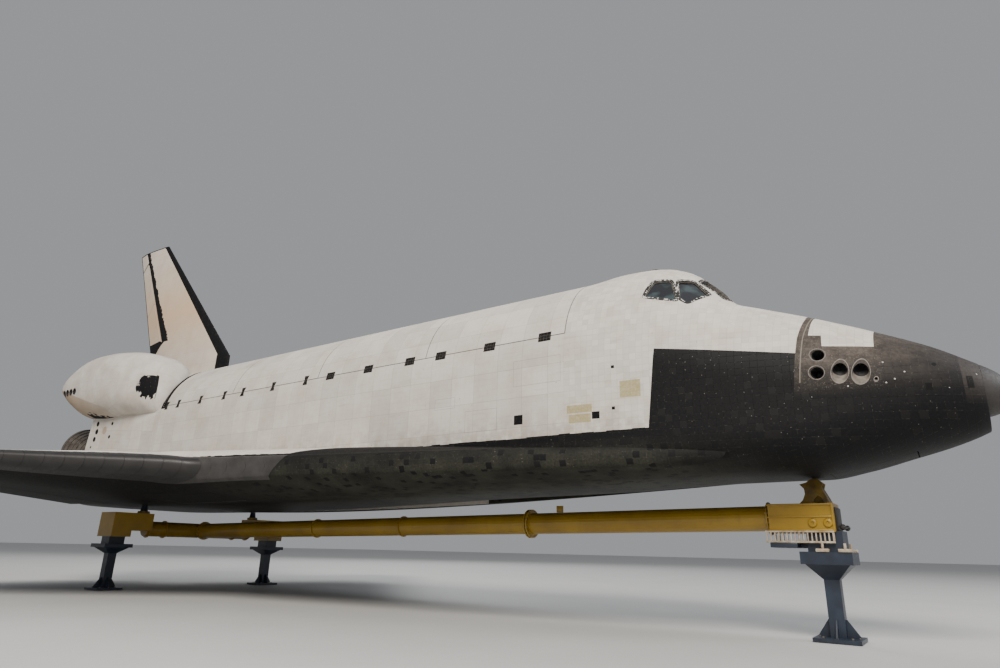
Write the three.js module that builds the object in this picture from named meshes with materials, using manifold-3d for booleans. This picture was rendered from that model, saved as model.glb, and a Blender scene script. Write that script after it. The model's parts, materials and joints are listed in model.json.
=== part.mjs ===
// Space shuttle orbiter on its yellow display cradle, at full size, in millimetres.
// Nose along +X, port side along +Y, +Z up, origin on the floor under the middle of the length.
import * as THREE from "three";
import { mergeVertices } from "three/addons/utils/BufferGeometryUtils.js";
import Module from "manifold-3d";

const wasm = await Module();
wasm.setup();

// Driving dimensions. Places are inches in the orbiter's own drawing frame: a station grows
// from nose to tail, a butt grows out from the middle plane, a height grows up.
const INCH = 25.4;
const MID_STATION = 968.5;
const FLOOR_HEIGHT = 149.4;
const FIT_GAP = 0.02; // between two pieces that touch
const MOVING_GAP = 0.3; // around a piece that moves
const WALL = 6; // crew cabin wall

const CABIN_BACK = 576;
const BAY_FRONT = 582;
const BAY_BACK = 1307;
const SILL_HEIGHT = 420.3;
const BAY_RADIUS = 93;
const BAY_CENTRE_HEIGHT = 400;

const BASE_STATION = 1507; // aft bulkhead at BASE_HEIGHT, it slants aft towards the belly
const BASE_HEIGHT = 412;
const BASE_SLANT = 0.157;

const ELEVON_HINGE_STATION = 1387;
const HINGE_ROOT = { butt: 105, height: 284, radius: 14 };
const HINGE_TIP = { butt: 446, height: 305, radius: 5.5 };
const TRAIL_ROOT_STATION = 1525.2;
const TRAIL_SWEEP = 0.1773;

const FLAP_HINGE = { station: 1532, height: 287, radius: 5.5 };
const FLAP_CHORD = 81;
const FLAP_HALF_WIDTH = 118;

// Body sections: bottom and top on the middle plane, the heights where the lower and upper
// arcs end at the side, the half width, and how square each arc is (2 is an ellipse).
const BODY_COLUMNS = ["station", "bottom", "lowSide", "topSide", "top", "half", "lowPower", "topPower"];
const BODY_ROWS = [
  [235, 338, 338, 338, 338, 0, 2, 2],
  [237, 329.5, 338, 338, 346.5, 8.5, 2, 2],
  [242, 321.5, 338, 338, 356, 17, 2, 2],
  [250, 315, 338, 339, 363, 25.5, 2, 2],
  [262, 309, 338, 340, 371, 35, 2, 2],
  [285, 301, 337, 342, 385.5, 48, 2.1, 2],
  [310, 294.5, 335, 345, 398, 57.5, 2.3, 2],
  [345, 286, 330, 348, 414.3, 68, 2.6, 2],
  [380, 281, 322, 352, 429.2, 77, 2.9, 2],
  [415, 281.5, 318, 358, 442.8, 85, 2.9, 2],
  [438, 281.5, 316, 362.5, 453, 89.5, 2.9, 1.95],
  [448, 281.5, 315.5, 365, 466.5, 91, 2.9, 1.93],
  [460, 281.5, 315, 368, 479.5, 93, 2.9, 1.9],
  [478, 281, 314, 372, 495, 95.5, 2.9, 1.87],
  [500, 280.5, 312, 378, 504, 98.5, 2.9, 1.9],
  [520, 280, 310, 383, 506.5, 100.5, 2.9, 1.93],
  [540, 279, 308, 388, 506, 102.5, 2.9, 1.98],
  [582, 277.5, 305, 393, 500, 105, 2.9, 2.1],
  [740, 274.5, 304, 393, 500, 105, 3, 2.1],
  [900, 270.5, 303, 393, 500, 105, 3.6, 2.1],
  [1000, 268.5, 303, 393, 500, 105, 4.5, 2.1],
  [1100, 267.3, 303, 393, 500, 105, 6, 2.1],
  [1200, 267, 303, 393, 500, 105, 8, 2.1],
  [1307, 267, 303, 393, 500, 105, 8, 2.1],
  [1360, 267, 303, 396, 500, 107, 6, 2.2],
  [1440, 268, 304, 402, 499, 111, 6, 2.4],
  [1507, 272, 306, 408, 497, 113, 6, 2.6],
];
const BODY = BODY_ROWS.map((row) => Object.fromEntries(row.map((value, i) => [BODY_COLUMNS[i], value])));

// Nose cap sections in the same columns. The cap sits higher than the skin behind it, which
// leaves the front face of the chin bare below it.
const CAP = [
  [235, 341, 341, 341, 341, 0, 2, 2],
  [237, 334.5, 341, 341, 347.5, 8.5, 2, 2],
  [242, 329, 341, 341, 356, 16.5, 2, 2],
  [248, 325.6, 340, 341, 361.6, 23, 2, 2],
  [255, 324, 339.5, 341, 366.4, 29, 2, 2],
].map((row) => Object.fromEntries(row.map((value, i) => [BODY_COLUMNS[i], value])));

// Wing sections from root to tip: leading edge station and height, length of its rounded nose
// and the heights above and below at its back, top and bottom heights at the thickest station.
const WING_COLUMNS = ["butt", "lead", "edge", "noseLength", "noseTop", "noseBottom", "crownTop", "bottom"];
const WING_ROWS = [
  [84, 440, 297, 50, 305, 286, 331, 268],
  [95, 484, 297, 48, 306, 285.5, 331.5, 267.7],
  [105, 533, 297, 46, 307, 285, 332, 267.5],
  [125, 625, 297.5, 42, 308.5, 285, 331, 269],
  [150, 764, 298, 38, 310, 286, 330, 271],
  [175, 922, 299, 32, 312, 287, 329, 273.2],
  [192, 1028, 303, 34, 315, 286, 328.5, 274.8],
  [215, 1051, 305, 34, 316.5, 288, 328, 276.5],
  [312, 1148, 306, 26, 314, 292, 321, 285],
  [468.34, 1304.3, 308, 12, 311, 305, 313, 300],
];
const WING = WING_ROWS.map((row) => Object.fromEntries(row.map((value, i) => [WING_COLUMNS[i], value])));
const CROWN_STATION = 1165;

// Panes as seen from starboard: corners as station, butt, height.
const PANES = [
  {
    name: "side",
    corners: [[476.5, 74.5, 443.4], [486.3, 56.9, 471.5], [501.5, 63.8, 471.5], [506.5, 79.7, 450.9]],
  },
  {
    name: "quarter",
    corners: [
      [466.3, 72.6, 439.5], [452.3, 49.8, 452.5], [467.6, 43.3, 471.4], [480.5, 54.2, 471.1], [474.5, 71.5, 445],
    ],
  },
  { name: "front", corners: [[442.5, 35, 451], [463.5, 38.5, 471.8], [466, 3, 484.5], [441, 3, 456]] },
  { name: "overhead", corners: [[510, 30, 501], [510, 9, 505], [534, 9, 506], [534, 30, 502]] },
];

const HATCH = { station: 514, height: 357, outer: 20, inner: 17 };
const NOSE_WELL = { front: 306, back: 372, halfWidth: 20, depth: 12 };
const MAIN_WELL = { front: 1045, back: 1185, inner: 112, outer: 168, depth: 10 };
const DOOR_THICKNESS = 3;
const DOOR_FRONT_GAP = 0.8; // gear doors swing slightly forward on their sloping hinge lines

const MAIN_ENGINES = [
  { name: "main_engine_upper", station: 1445, butt: 0, height: 443, up: 16, out: 0 },
  { name: "main_engine_left", station: 1468.17, butt: 53, height: 342.64, up: 10, out: 3.5 },
  { name: "main_engine_right", station: 1468.17, butt: -53, height: 342.64, up: 10, out: -3.5 },
];
const MAIN_BELL = { throat: 36, start: 64, length: 157, throatRadius: 5.2, exitRadius: 45.35, wall: 1.6 };
const ORBIT_BELL = { throat: 12, start: 30, length: 77, throatRadius: 3, exitRadius: 22.5, wall: 1 };
const ORBIT_ENGINE = { station: 1518, butt: 88, height: 492, up: 15.8, out: 6.5 };

// Pod sections: middle, half width and half height.
const POD_COLUMNS = ["station", "butt", "height", "halfWidth", "halfHeight"];
const POD_ROWS = [
  [1311, 84, 452, 22, 34],
  [1322, 85, 454, 32, 46],
  [1345, 88, 460, 41, 50],
  [1400, 94, 468, 51, 55],
  [1470, 97, 471, 53, 58],
  [1515, 97, 472.5, 53, 55.5],
  [1545, 99, 472.5, 51, 42.5],
  [1567, 103, 471.5, 45, 23.5],
  [1576, 106, 468.5, 38, 14],
];
const PODS = POD_ROWS.map((row) => Object.fromEntries(row.map((value, i) => [POD_COLUMNS[i], value])));
const POD_POWER = 2.5;

// Fin: leading edge, rudder hinge line and trailing edge as stations at two heights.
const FIN = {
  root: { height: 490, lead: 1309, hinge: 1462.6, trail: 1541.5 },
  knee: { height: 531.1, lead: 1309, hinge: 1488.7, trail: 1561.8 },
  tip: { height: 815.7, lead: 1593.6, hinge: 1669.5, trail: 1702.1 },
  rootHalfThickness: 13,
  tipHalfThickness: 5,
};
const RUDDER_BOTTOM_HEIGHT = 590;
const RUDDER_TOP_HEIGHT = 789;

// Cradle: a box under the nose, a tube along the middle, a cross tube with a haunch at each
// end, and the struts that reach the attach points of the belly.
const STAND = {
  box: { front: 376, back: 427, half: 16, low: 236, high: 258 },
  bracketFoot: { front: 377, back: 399, half: 10 },
  bracketHead: { front: 383, back: 393, half: 5, height: 273 },
  attachStation: 388.15,
  attachHeight: 280.6,
  tubeRadius: 11,
  tubeFront: { station: 427, height: 247 },
  tubeBack: { station: 1317, height: 234.5 },
  haunch: { half: 20, inner: 90, outer: 148, low: 231, high: 256, toeInner: 120, toeLow: 222 },
  strut: { butt: 96.5, height: 268.4, lowRadius: 6, highRadius: 4 },
};
// Piers: a column on a foot plate, haunches that spread from it to a platform, and a packing
// block on top.
const AFT_PIER = {
  station: 1317, butt: 134, column: 6, foot: 18, platform: 20, plate: 5, haunch: 8, block: 11, top: 212,
};
const FORWARD_PIER = {
  station: 384, butt: 0, column: 6, foot: 18, platform: 20, plate: 10, haunch: 12, block: 14, top: 219,
};
const PIER_FOOT_THICKNESS = 3;

const MATERIALS = {
  white_tile: { color: 0xcfcbc2, roughness: 0.75, metalness: 0 },
  black_tile: { color: 0x1d1d1f, roughness: 0.6, metalness: 0 },
  carbon_grey: { color: 0x4a4a4c, roughness: 0.55, metalness: 0 },
  window_glass: { color: 0x15181c, roughness: 0.1, metalness: 0 },
  cabin_grey: { color: 0x6f7376, roughness: 0.7, metalness: 0 },
  seat_cloth: { color: 0x35414a, roughness: 0.9, metalness: 0 },
  engine_metal: { color: 0x6d655e, roughness: 0.45, metalness: 0.7 },
  stand_yellow: { color: 0xd89a14, roughness: 0.45, metalness: 0.1 },
  pier_grey: { color: 0x30353b, roughness: 0.5, metalness: 0.2 },
};

const group = new THREE.Group();

const x = (station) => (MID_STATION - station) * INCH;
const y = (butt) => butt * INCH;
const z = (height) => (height - FLOOR_HEIGHT) * INCH;
const place = (station, butt, height) => new THREE.Vector3(x(station), y(butt), z(height));
const mix = (a, b, t) => a + (b - a) * t;
const radians = THREE.MathUtils.degToRad;

// A closed geometry becomes a solid that can be joined and cut.
function solid(geometry) {
  const bare = geometry.clone();
  for (const name of Object.keys(bare.attributes)) {
    if (name !== "position") bare.deleteAttribute(name);
  }
  const merged = mergeVertices(bare, 1e-3);
  const index = merged.index.array;
  const kept = [];
  for (let i = 0; i < index.length; i += 3) {
    const [a, b, c] = index.slice(i, i + 3);
    if (a !== b && b !== c && c !== a) kept.push(a, b, c);
  }
  const vertProperties = new Float32Array(merged.attributes.position.array);
  return new wasm.Manifold(new wasm.Mesh({ numProp: 3, vertProperties, triVerts: new Uint32Array(kept) }));
}

function add(name, body, material) {
  const { vertProperties, triVerts } = body.getMesh();
  const geometry = new THREE.BufferGeometry();
  geometry.setAttribute("position", new THREE.BufferAttribute(new Float32Array(vertProperties), 3));
  geometry.setIndex(new THREE.BufferAttribute(new Uint32Array(triVerts), 1));
  geometry.computeVertexNormals();
  const mesh = new THREE.Mesh(geometry, new THREE.MeshStandardMaterial(MATERIALS[material]));
  mesh.name = name;
  group.add(mesh);
}

// Skin over rings of the same number of points, with convex ends closed by fans. Each
// four-sided patch is split so that the two sides of the body mirror each other.
function loft(rings) {
  const count = rings[0].length;
  const points = rings.flat();
  const faces = [];
  for (let i = 0; i + 1 < rings.length; i++) {
    for (let j = 0; j < count; j++) {
      const a = i * count + j;
      const b = i * count + (j + 1) % count;
      const port = points[a].y + points[b].y > 0;
      if (port) faces.push([a, b, b + count], [a, b + count, a + count]);
      else faces.push([a, b, a + count], [b, b + count, a + count]);
    }
  }
  const last = (rings.length - 1) * count;
  for (let j = 1; j + 1 < count; j++) {
    faces.push([0, j + 1, j], [last, last + j, last + j + 1]);
  }
  let volume = 0;
  for (const [a, b, c] of faces) volume += points[a].dot(points[b].clone().cross(points[c]));
  const index = faces.flatMap(([a, b, c]) => (volume > 0 ? [a, b, c] : [a, c, b]));
  const geometry = new THREE.BufferGeometry().setFromPoints(points);
  geometry.setIndex(index);
  return solid(geometry);
}

const mirrored = (body) => body.mirror([0, 1, 0]);

function box(front, back, inner, outer, low, high) {
  const corners = (station) => [
    place(station, inner, low), place(station, outer, low),
    place(station, outer, high), place(station, inner, high),
  ];
  return loft([corners(front), corners(back)]);
}

// Round bar between two points.
function bar(start, end, startRadius, endRadius, sides = 20) {
  const along = end.clone().sub(start);
  const geometry = new THREE.CylinderGeometry(endRadius * INCH, startRadius * INCH, along.length(), sides);
  const turn = new THREE.Quaternion().setFromUnitVectors(new THREE.Vector3(0, 1, 0), along.clone().normalize());
  geometry.applyQuaternion(turn);
  const middle = start.clone().add(end).multiplyScalar(0.5);
  return solid(geometry.translate(middle.x, middle.y, middle.z));
}

// Body skin
const TOP_STEPS = 7;
const LOW_STEPS = 5;

function arcPoint(row, side, angle, upper, grow) {
  const power = upper ? row.topPower : row.lowPower;
  const reach = upper ? row.top - row.topSide + grow : row.bottom - row.lowSide - grow;
  const across = Math.pow(Math.abs(Math.cos(angle)), 2 / power) * Math.max(row.half + grow, 0);
  const rise = Math.pow(Math.abs(Math.sin(angle)), 2 / power) * reach;
  return place(row.station, side * across, (upper ? row.topSide : row.lowSide) + rise);
}

function bodyRing(row, grow = 0) {
  const ring = [];
  const quarter = (side, upper, steps, from, to) => {
    for (let i = 0; i < steps; i++) {
      ring.push(arcPoint(row, side, mix(from, to, i / steps) * Math.PI / 2, upper, grow));
    }
  };
  quarter(1, true, TOP_STEPS, 0, 1);
  quarter(-1, true, TOP_STEPS, 1, 0);
  ring.push(arcPoint(row, -1, 0, true, grow));
  quarter(-1, false, LOW_STEPS, 0, 1);
  quarter(1, false, LOW_STEPS, 1, 0);
  ring.push(arcPoint(row, 1, 0, false, grow));
  return ring;
}

function bodyRow(station) {
  const next = Math.max(1, BODY.findIndex((row) => row.station >= station));
  const [a, b] = [BODY[next - 1], BODY[next]];
  const t = (station - a.station) / (b.station - a.station);
  return Object.fromEntries(BODY_COLUMNS.map((name) => [name, mix(a[name], b[name], t)]));
}

function bodySolid(front, back, grow = 0) {
  const between = BODY.filter((row) => row.station > front + 0.5 && row.station < back - 0.5);
  return loft([bodyRow(front), ...between, bodyRow(back)].map((row) => bodyRing(row, grow)));
}

// Cutter through four corners, from outside the skin to inside it.
function paneCutter(corners, side, outward, inward) {
  const points = corners.map(([station, butt, height]) => place(station, side * butt, height));
  const normal = points[2].clone().sub(points[0]).cross(points[3].clone().sub(points[1])).normalize();
  if (normal.z < 0) normal.negate();
  const shifted = (distance) => points.map((point) => point.clone().addScaledVector(normal, distance * INCH));
  return loft([shifted(outward), shifted(-inward)]);
}

// A door in a skin is the skin's outer layer inside a box, and its well is the box itself.
function skinDoor(skin, front, back, inner, outer, low, high) {
  const slab = box(front, back, inner, outer, low, high);
  const lifted = skin.translate([0, 0, DOOR_THICKNESS * INCH]);
  return skin.intersect(slab).subtract(lifted);
}

// The well behind a skin door: everything in the box below the skin lifted by the well's depth.
function skinWell(skin, front, back, inner, outer, low, high, depth) {
  return box(front, back, inner, outer, low, high).subtract(skin.translate([0, 0, depth * INCH]));
}

const NOSE_CAP_BACK = 255;

// Nose and crew cabin
const cabinInside = bodySolid(436, CABIN_BACK, -WALL);
const noseSkin = bodySolid(235, BAY_FRONT - FIT_GAP);

function hatchCone(shrink) {
  const centre = (butt) => place(HATCH.station, butt, HATCH.height);
  return bar(centre(85), centre(115), HATCH.inner - shrink, HATCH.outer + 1 - shrink, 32);
}

function buildForward() {
  const wall = bodySolid(NOSE_CAP_BACK + FIT_GAP, BAY_FRONT - FIT_GAP).subtract(cabinInside);
  let shell = wall;
  for (const pane of PANES) {
    for (const side of [1, -1]) shell = shell.subtract(paneCutter(pane.corners, side, 14, 12));
  }
  const { front, back, halfWidth, depth } = NOSE_WELL;
  shell = shell.subtract(skinWell(noseSkin, front, back, -halfWidth, halfWidth, 260, 320, depth));
  shell = shell.subtract(hatchCone(0));
  add("nose_cap", loft(CAP.map((row) => bodyRing(row))), "carbon_grey");
  add("forward_fuselage", shell, "white_tile");
  add("side_hatch", wall.intersect(hatchCone(MOVING_GAP)), "white_tile");
  const port = skinDoor(
    noseSkin, front + DOOR_FRONT_GAP, back - MOVING_GAP, MOVING_GAP, halfWidth - MOVING_GAP, 260, 310,
  );
  add("nose_gear_door_left", port, "black_tile");
  add("nose_gear_door_right", mirrored(port), "black_tile");
}

function buildCabin() {
  const paneBand = bodySolid(438, 545, -WALL - FIT_GAP).subtract(bodySolid(430, 550, -WALL - 1.2));
  add("windshield_glass", paneBand.intersect(box(439, 540, -90, 90, 430, 520)), "window_glass");
  const fitted = bodySolid(437, CABIN_BACK, -WALL - FIT_GAP);
  const deck = fitted.intersect(box(439, CABIN_BACK - FIT_GAP, -90, 90, 412, 415));
  add("flight_deck_floor", deck, "cabin_grey");
  const floor = 415 + FIT_GAP;
  add("instrument_panel", box(449, 455, -38, 38, floor, 434), "cabin_grey");
  for (const [name, butt] of [["commander_seat", 20], ["pilot_seat", -20]]) {
    const pan = box(476, 494, butt - 9, butt + 9, floor, 428);
    const back = box(490, 496, butt - 9, butt + 9, 426, 458);
    add(name, pan.add(back), "seat_cloth");
  }
}

// Payload bay: an open trough with two doors hinged on its sills.
function doorSection() {
  const row = bodyRow(900);
  const shape = new THREE.Shape();
  const start = SILL_HEIGHT + MOVING_GAP;
  const outer = [];
  const steps = 12;
  const startAngle = Math.asin(Math.pow((start - row.topSide) / (row.top - row.topSide), row.topPower / 2));
  for (let i = 0; i <= steps; i++) {
    const angle = mix(startAngle, Math.PI / 2, i / steps);
    const butt = row.half * Math.pow(Math.cos(angle), 2 / row.topPower);
    const height = row.topSide + (row.top - row.topSide) * Math.pow(Math.sin(angle), 2 / row.topPower);
    outer.push(new THREE.Vector2(y(Math.max(butt, MOVING_GAP / 2)), z(height)));
  }
  shape.setFromPoints(outer);
  const from = Math.PI / 2 - Math.asin(MOVING_GAP / 2 / BAY_RADIUS);
  const to = Math.asin((start - BAY_CENTRE_HEIGHT) / BAY_RADIUS);
  shape.absarc(0, z(BAY_CENTRE_HEIGHT), BAY_RADIUS * INCH, from, to, true);
  shape.closePath();
  return shape;
}

function alongBody(shape, front, back, curveSegments) {
  const depth = (back - front) * INCH;
  const geometry = new THREE.ExtrudeGeometry(shape, { depth, bevelEnabled: false, curveSegments });
  const turn = new THREE.Matrix4().makeBasis(
    new THREE.Vector3(0, 1, 0), new THREE.Vector3(0, 0, 1), new THREE.Vector3(1, 0, 0),
  );
  return solid(geometry.applyMatrix4(turn).translate(x(back), 0, 0));
}

function buildBay() {
  const trough = bar(place(BAY_FRONT - 1, 0, BAY_CENTRE_HEIGHT), place(BAY_BACK + 1, 0, BAY_CENTRE_HEIGHT),
    BAY_RADIUS, BAY_RADIUS, 48);
  const above = box(BAY_FRONT - 1, BAY_BACK + 1, -120, 120, SILL_HEIGHT - MOVING_GAP, 520);
  add("mid_fuselage", bodySolid(BAY_FRONT, BAY_BACK).subtract(trough).subtract(above), "white_tile");
  const port = alongBody(doorSection(), BAY_FRONT + MOVING_GAP, BAY_BACK - MOVING_GAP, 14);
  add("payload_bay_door_left", port, "white_tile");
  add("payload_bay_door_right", mirrored(port), "white_tile");
}

// Aft body, engines and body flap
function aftSkin(grow) {
  const stations = [BAY_BACK + FIT_GAP, 1360, 1440, BASE_STATION];
  if (grow > 0) stations.unshift(BAY_BACK - 1);
  const rings = stations.map((station) => bodyRing(bodyRow(station), grow));
  const base = rings[rings.length - 1];
  for (const point of base) point.x -= (z(BASE_HEIGHT) - point.z) * BASE_SLANT + grow * INCH;
  return loft(rings);
}

function engineFrame(engine) {
  const gimbal = place(engine.station, engine.butt, engine.height);
  const up = radians(engine.up);
  const out = radians(engine.out);
  const aim = new THREE.Vector3(-Math.cos(up) * Math.cos(out), Math.cos(up) * Math.sin(out), Math.sin(up));
  return { gimbal, aim };
}

function lathe(profile, engine, sides) {
  const points = profile.map(([radius, distance]) => new THREE.Vector2(radius * INCH, distance * INCH));
  const geometry = new THREE.LatheGeometry(points, sides);
  const { gimbal, aim } = engineFrame(engine);
  const turn = new THREE.Quaternion().setFromUnitVectors(new THREE.Vector3(0, 1, 0), aim);
  return solid(geometry.applyQuaternion(turn).translate(gimbal.x, gimbal.y, gimbal.z));
}

// Bell radius at a distance from the gimbal, steep at the throat and flatter at the exit.
function bellRadius(bell, distance) {
  const share = (distance - bell.throat) / (bell.length - bell.throat);
  return bell.throatRadius + (bell.exitRadius - bell.throatRadius) * (1.35 * share - 0.35 * share * share);
}

function bellSolid(bell, engine, sides) {
  const steps = 6;
  const outer = [];
  const inner = [];
  for (let i = 0; i <= steps; i++) {
    const distance = mix(bell.start, bell.length, i / steps);
    outer.push([bellRadius(bell, distance), distance]);
    if (i > 0) inner.unshift([bellRadius(bell, distance) - bell.wall, distance]);
  }
  const floor = bell.start + 3;
  const corner = [bellRadius(bell, floor) - bell.wall, floor];
  const profile = [[0, bell.start], ...outer, ...inner, corner, [0, floor]];
  return lathe(profile, engine, sides);
}

function buildAft() {
  let body = aftSkin(0);
  for (const engine of MAIN_ENGINES) {
    const dome = [[0, 40], [40, 40], [38, 54], [32, 66], [24, 74], [0, 74]];
    const pocket = [[0, 52], [bellRadius(MAIN_BELL, MAIN_BELL.start) + 2, 52]];
    for (const distance of [MAIN_BELL.start + 2, 90]) {
      pocket.push([bellRadius(MAIN_BELL, distance) + 2, distance]);
    }
    pocket.push([0, 90]);
    body = body.add(lathe(dome, engine, 32)).subtract(lathe(pocket, engine, 32));
    add(engine.name, bellSolid(MAIN_BELL, engine, 32), "engine_metal");
  }
  const { station, height, radius } = FLAP_HINGE;
  const hinge = bar(place(station, -140, height), place(station, 140, height), radius + 0.6, radius + 0.6, 24);
  add("aft_fuselage", body.subtract(hinge), "white_tile");
  const section = [];
  for (let i = 0; i <= 8; i++) {
    const angle = Math.PI / 2 + i / 8 * Math.PI;
    section.push([station + radius * Math.cos(angle), height + radius * Math.sin(angle)]);
  }
  section.push([station + FLAP_CHORD, height - 3.5], [station + FLAP_CHORD, height - 2]);
  const flapRing = (butt) => section.map(([s, h]) => place(s, butt, h));
  add("body_flap", loft([flapRing(-FLAP_HALF_WIDTH), flapRing(FLAP_HALF_WIDTH)]), "black_tile");
}

function buildPods() {
  const sides = 20;
  const ring = (row) => Array.from({ length: sides }, (_, i) => {
    const angle = i / sides * 2 * Math.PI;
    const power = (value) => Math.sign(value) * Math.pow(Math.abs(value), 2 / POD_POWER);
    const butt = row.butt + row.halfWidth * power(Math.cos(angle));
    return place(row.station, butt, row.height + row.halfHeight * power(Math.sin(angle)));
  });
  const pocket = [[0, ORBIT_BELL.start - 4], [13, ORBIT_BELL.start - 4], [26, 60], [30, 90], [0, 90]];
  const pod = loft(PODS.map(ring)).subtract(aftSkin(FIT_GAP)).subtract(lathe(pocket, ORBIT_ENGINE, 28));
  const bell = bellSolid(ORBIT_BELL, ORBIT_ENGINE, 24);
  add("oms_pod_left", pod, "white_tile");
  add("oms_pod_right", mirrored(pod), "white_tile");
  add("oms_nozzle_left", bell, "engine_metal");
  add("oms_nozzle_right", mirrored(bell), "engine_metal");
}

// Wings
const hingeShare = (butt) => (butt - HINGE_ROOT.butt) / (HINGE_TIP.butt - HINGE_ROOT.butt);
const hingeHeight = (butt) => mix(HINGE_ROOT.height, HINGE_TIP.height, hingeShare(butt));
const hingeRadius = (butt) => mix(HINGE_ROOT.radius, HINGE_TIP.radius, hingeShare(butt));
const trailStation = (butt) => TRAIL_ROOT_STATION - TRAIL_SWEEP * butt;
const TRAIL_HALF_THICKNESS = 0.8;
const TRAIL_DROP = 12;

function wingRing(row) {
  const { butt, lead, edge, noseLength, noseTop, noseBottom, crownTop, bottom } = row;
  const crown = Math.max(CROWN_STATION, mix(lead, trailStation(butt), 0.4));
  const middle = hingeHeight(butt);
  const radius = hingeRadius(butt);
  const trail = trailStation(butt);
  const trailHeight = middle - TRAIL_DROP * (radius / HINGE_ROOT.radius);
  const outline = [
    [lead, edge],
    [lead + noseLength * 0.12, mix(edge, noseTop, 0.5)],
    [lead + noseLength * 0.45, mix(edge, noseTop, 0.85)],
    [lead + noseLength, noseTop],
    [crown, crownTop],
    [ELEVON_HINGE_STATION, middle + radius],
    [trail, trailHeight + TRAIL_HALF_THICKNESS],
    [trail, trailHeight - TRAIL_HALF_THICKNESS],
    [ELEVON_HINGE_STATION, middle - radius],
    [crown, bottom],
    [lead + noseLength, noseBottom],
    [lead + noseLength * 0.45, mix(edge, noseBottom, 0.85)],
    [lead + noseLength * 0.12, mix(edge, noseBottom, 0.5)],
  ];
  return outline.map(([station, height]) => place(station, butt, height));
}

// Elevon between two butts, its ends square to the hinge line, round about it in front.
function elevonSolid(inner, outer) {
  const lean = Math.atan2(hingeHeight(outer) - hingeHeight(inner), outer - inner);
  const ring = (butt) => {
    const radius = hingeRadius(butt);
    const points = [];
    const at = (station, across) => place(
      station, butt - across * Math.sin(lean), hingeHeight(butt) + across * Math.cos(lean),
    );
    for (let i = 0; i <= 8; i++) {
      const angle = Math.PI / 2 + i / 8 * Math.PI;
      points.push(at(ELEVON_HINGE_STATION + radius * Math.cos(angle), radius * Math.sin(angle)));
    }
    const drop = TRAIL_DROP * radius / HINGE_ROOT.radius;
    points.push(at(trailStation(butt), -drop - TRAIL_HALF_THICKNESS));
    points.push(at(trailStation(butt), -drop + TRAIL_HALF_THICKNESS));
    return points;
  };
  return loft([ring(inner), ring(outer)]);
}

function buildWings() {
  const whole = loft(WING.map(wingRing));
  const cove = loft([80, HINGE_TIP.butt + 2].map((butt) => {
    const front = ELEVON_HINGE_STATION - hingeRadius(butt) - 0.6;
    return [[front, 230], [1560, 230], [1560, 350], [front, 350]].map(([s, h]) => place(s, butt, h));
  }));
  const { front, back, inner, outer, depth } = MAIN_WELL;
  const well = skinWell(whole, front, back, inner, outer, 240, 300, depth);
  const body = bodySolid(400, BASE_STATION, FIT_GAP);
  const wing = whole.subtract(cove).subtract(body).subtract(well);
  const door = skinDoor(
    whole, front + DOOR_FRONT_GAP, back - MOVING_GAP, inner + MOVING_GAP, outer - MOVING_GAP, 240, 300,
  );
  const elevons = { inboard: elevonSolid(120, 311.5), outboard: elevonSolid(313.5, 446) };
  add("wing_left", wing, "black_tile");
  add("wing_right", mirrored(wing), "black_tile");
  add("main_gear_door_left", door, "black_tile");
  add("main_gear_door_right", mirrored(door), "black_tile");
  for (const [name, elevon] of Object.entries(elevons)) {
    add(`elevon_${name}_left`, elevon, "black_tile");
    add(`elevon_${name}_right`, mirrored(elevon), "black_tile");
  }
}

// Fin and rudder
const finShare = (height) => (height - FIN.root.height) / (FIN.tip.height - FIN.root.height);
const finStation = (edge, height) => {
  const from = edge === "lead" ? FIN.knee : FIN.root;
  const share = (height - from.height) / (FIN.tip.height - from.height);
  return mix(from[edge], FIN.tip[edge], Math.max(share, 0));
};
const finHalf = (height) => mix(FIN.rootHalfThickness, FIN.tipHalfThickness, finShare(height));
const rudderLean = Math.atan2(FIN.tip.hinge - FIN.root.hinge, FIN.tip.height - FIN.root.height);
const trailSlope = (FIN.tip.trail - FIN.root.trail) / (FIN.tip.height - FIN.root.height);

function finRing(height, aftOfHinge) {
  const half = finHalf(height);
  const lead = finStation("lead", height);
  const hinge = finStation("hinge", height);
  const nose = Math.min(26, (hinge - lead) * 0.25);
  const side = [
    [lead, 0], [lead + nose * 0.2, half * 0.28], [lead + nose, half * 0.55], [hinge, half], [aftOfHinge, 1],
  ];
  const other = side.slice(1).reverse().map(([station, butt]) => [station, -butt]);
  return [...side, ...other].map(([station, butt]) => place(station, butt, height));
}

// Point on the hinge line at a height, moved square to it: aft across the chord.
function besideHinge(height, across, butt) {
  const station = finStation("hinge", height) + across * Math.cos(rudderLean);
  return place(station, butt, height - across * Math.sin(rudderLean));
}

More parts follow.
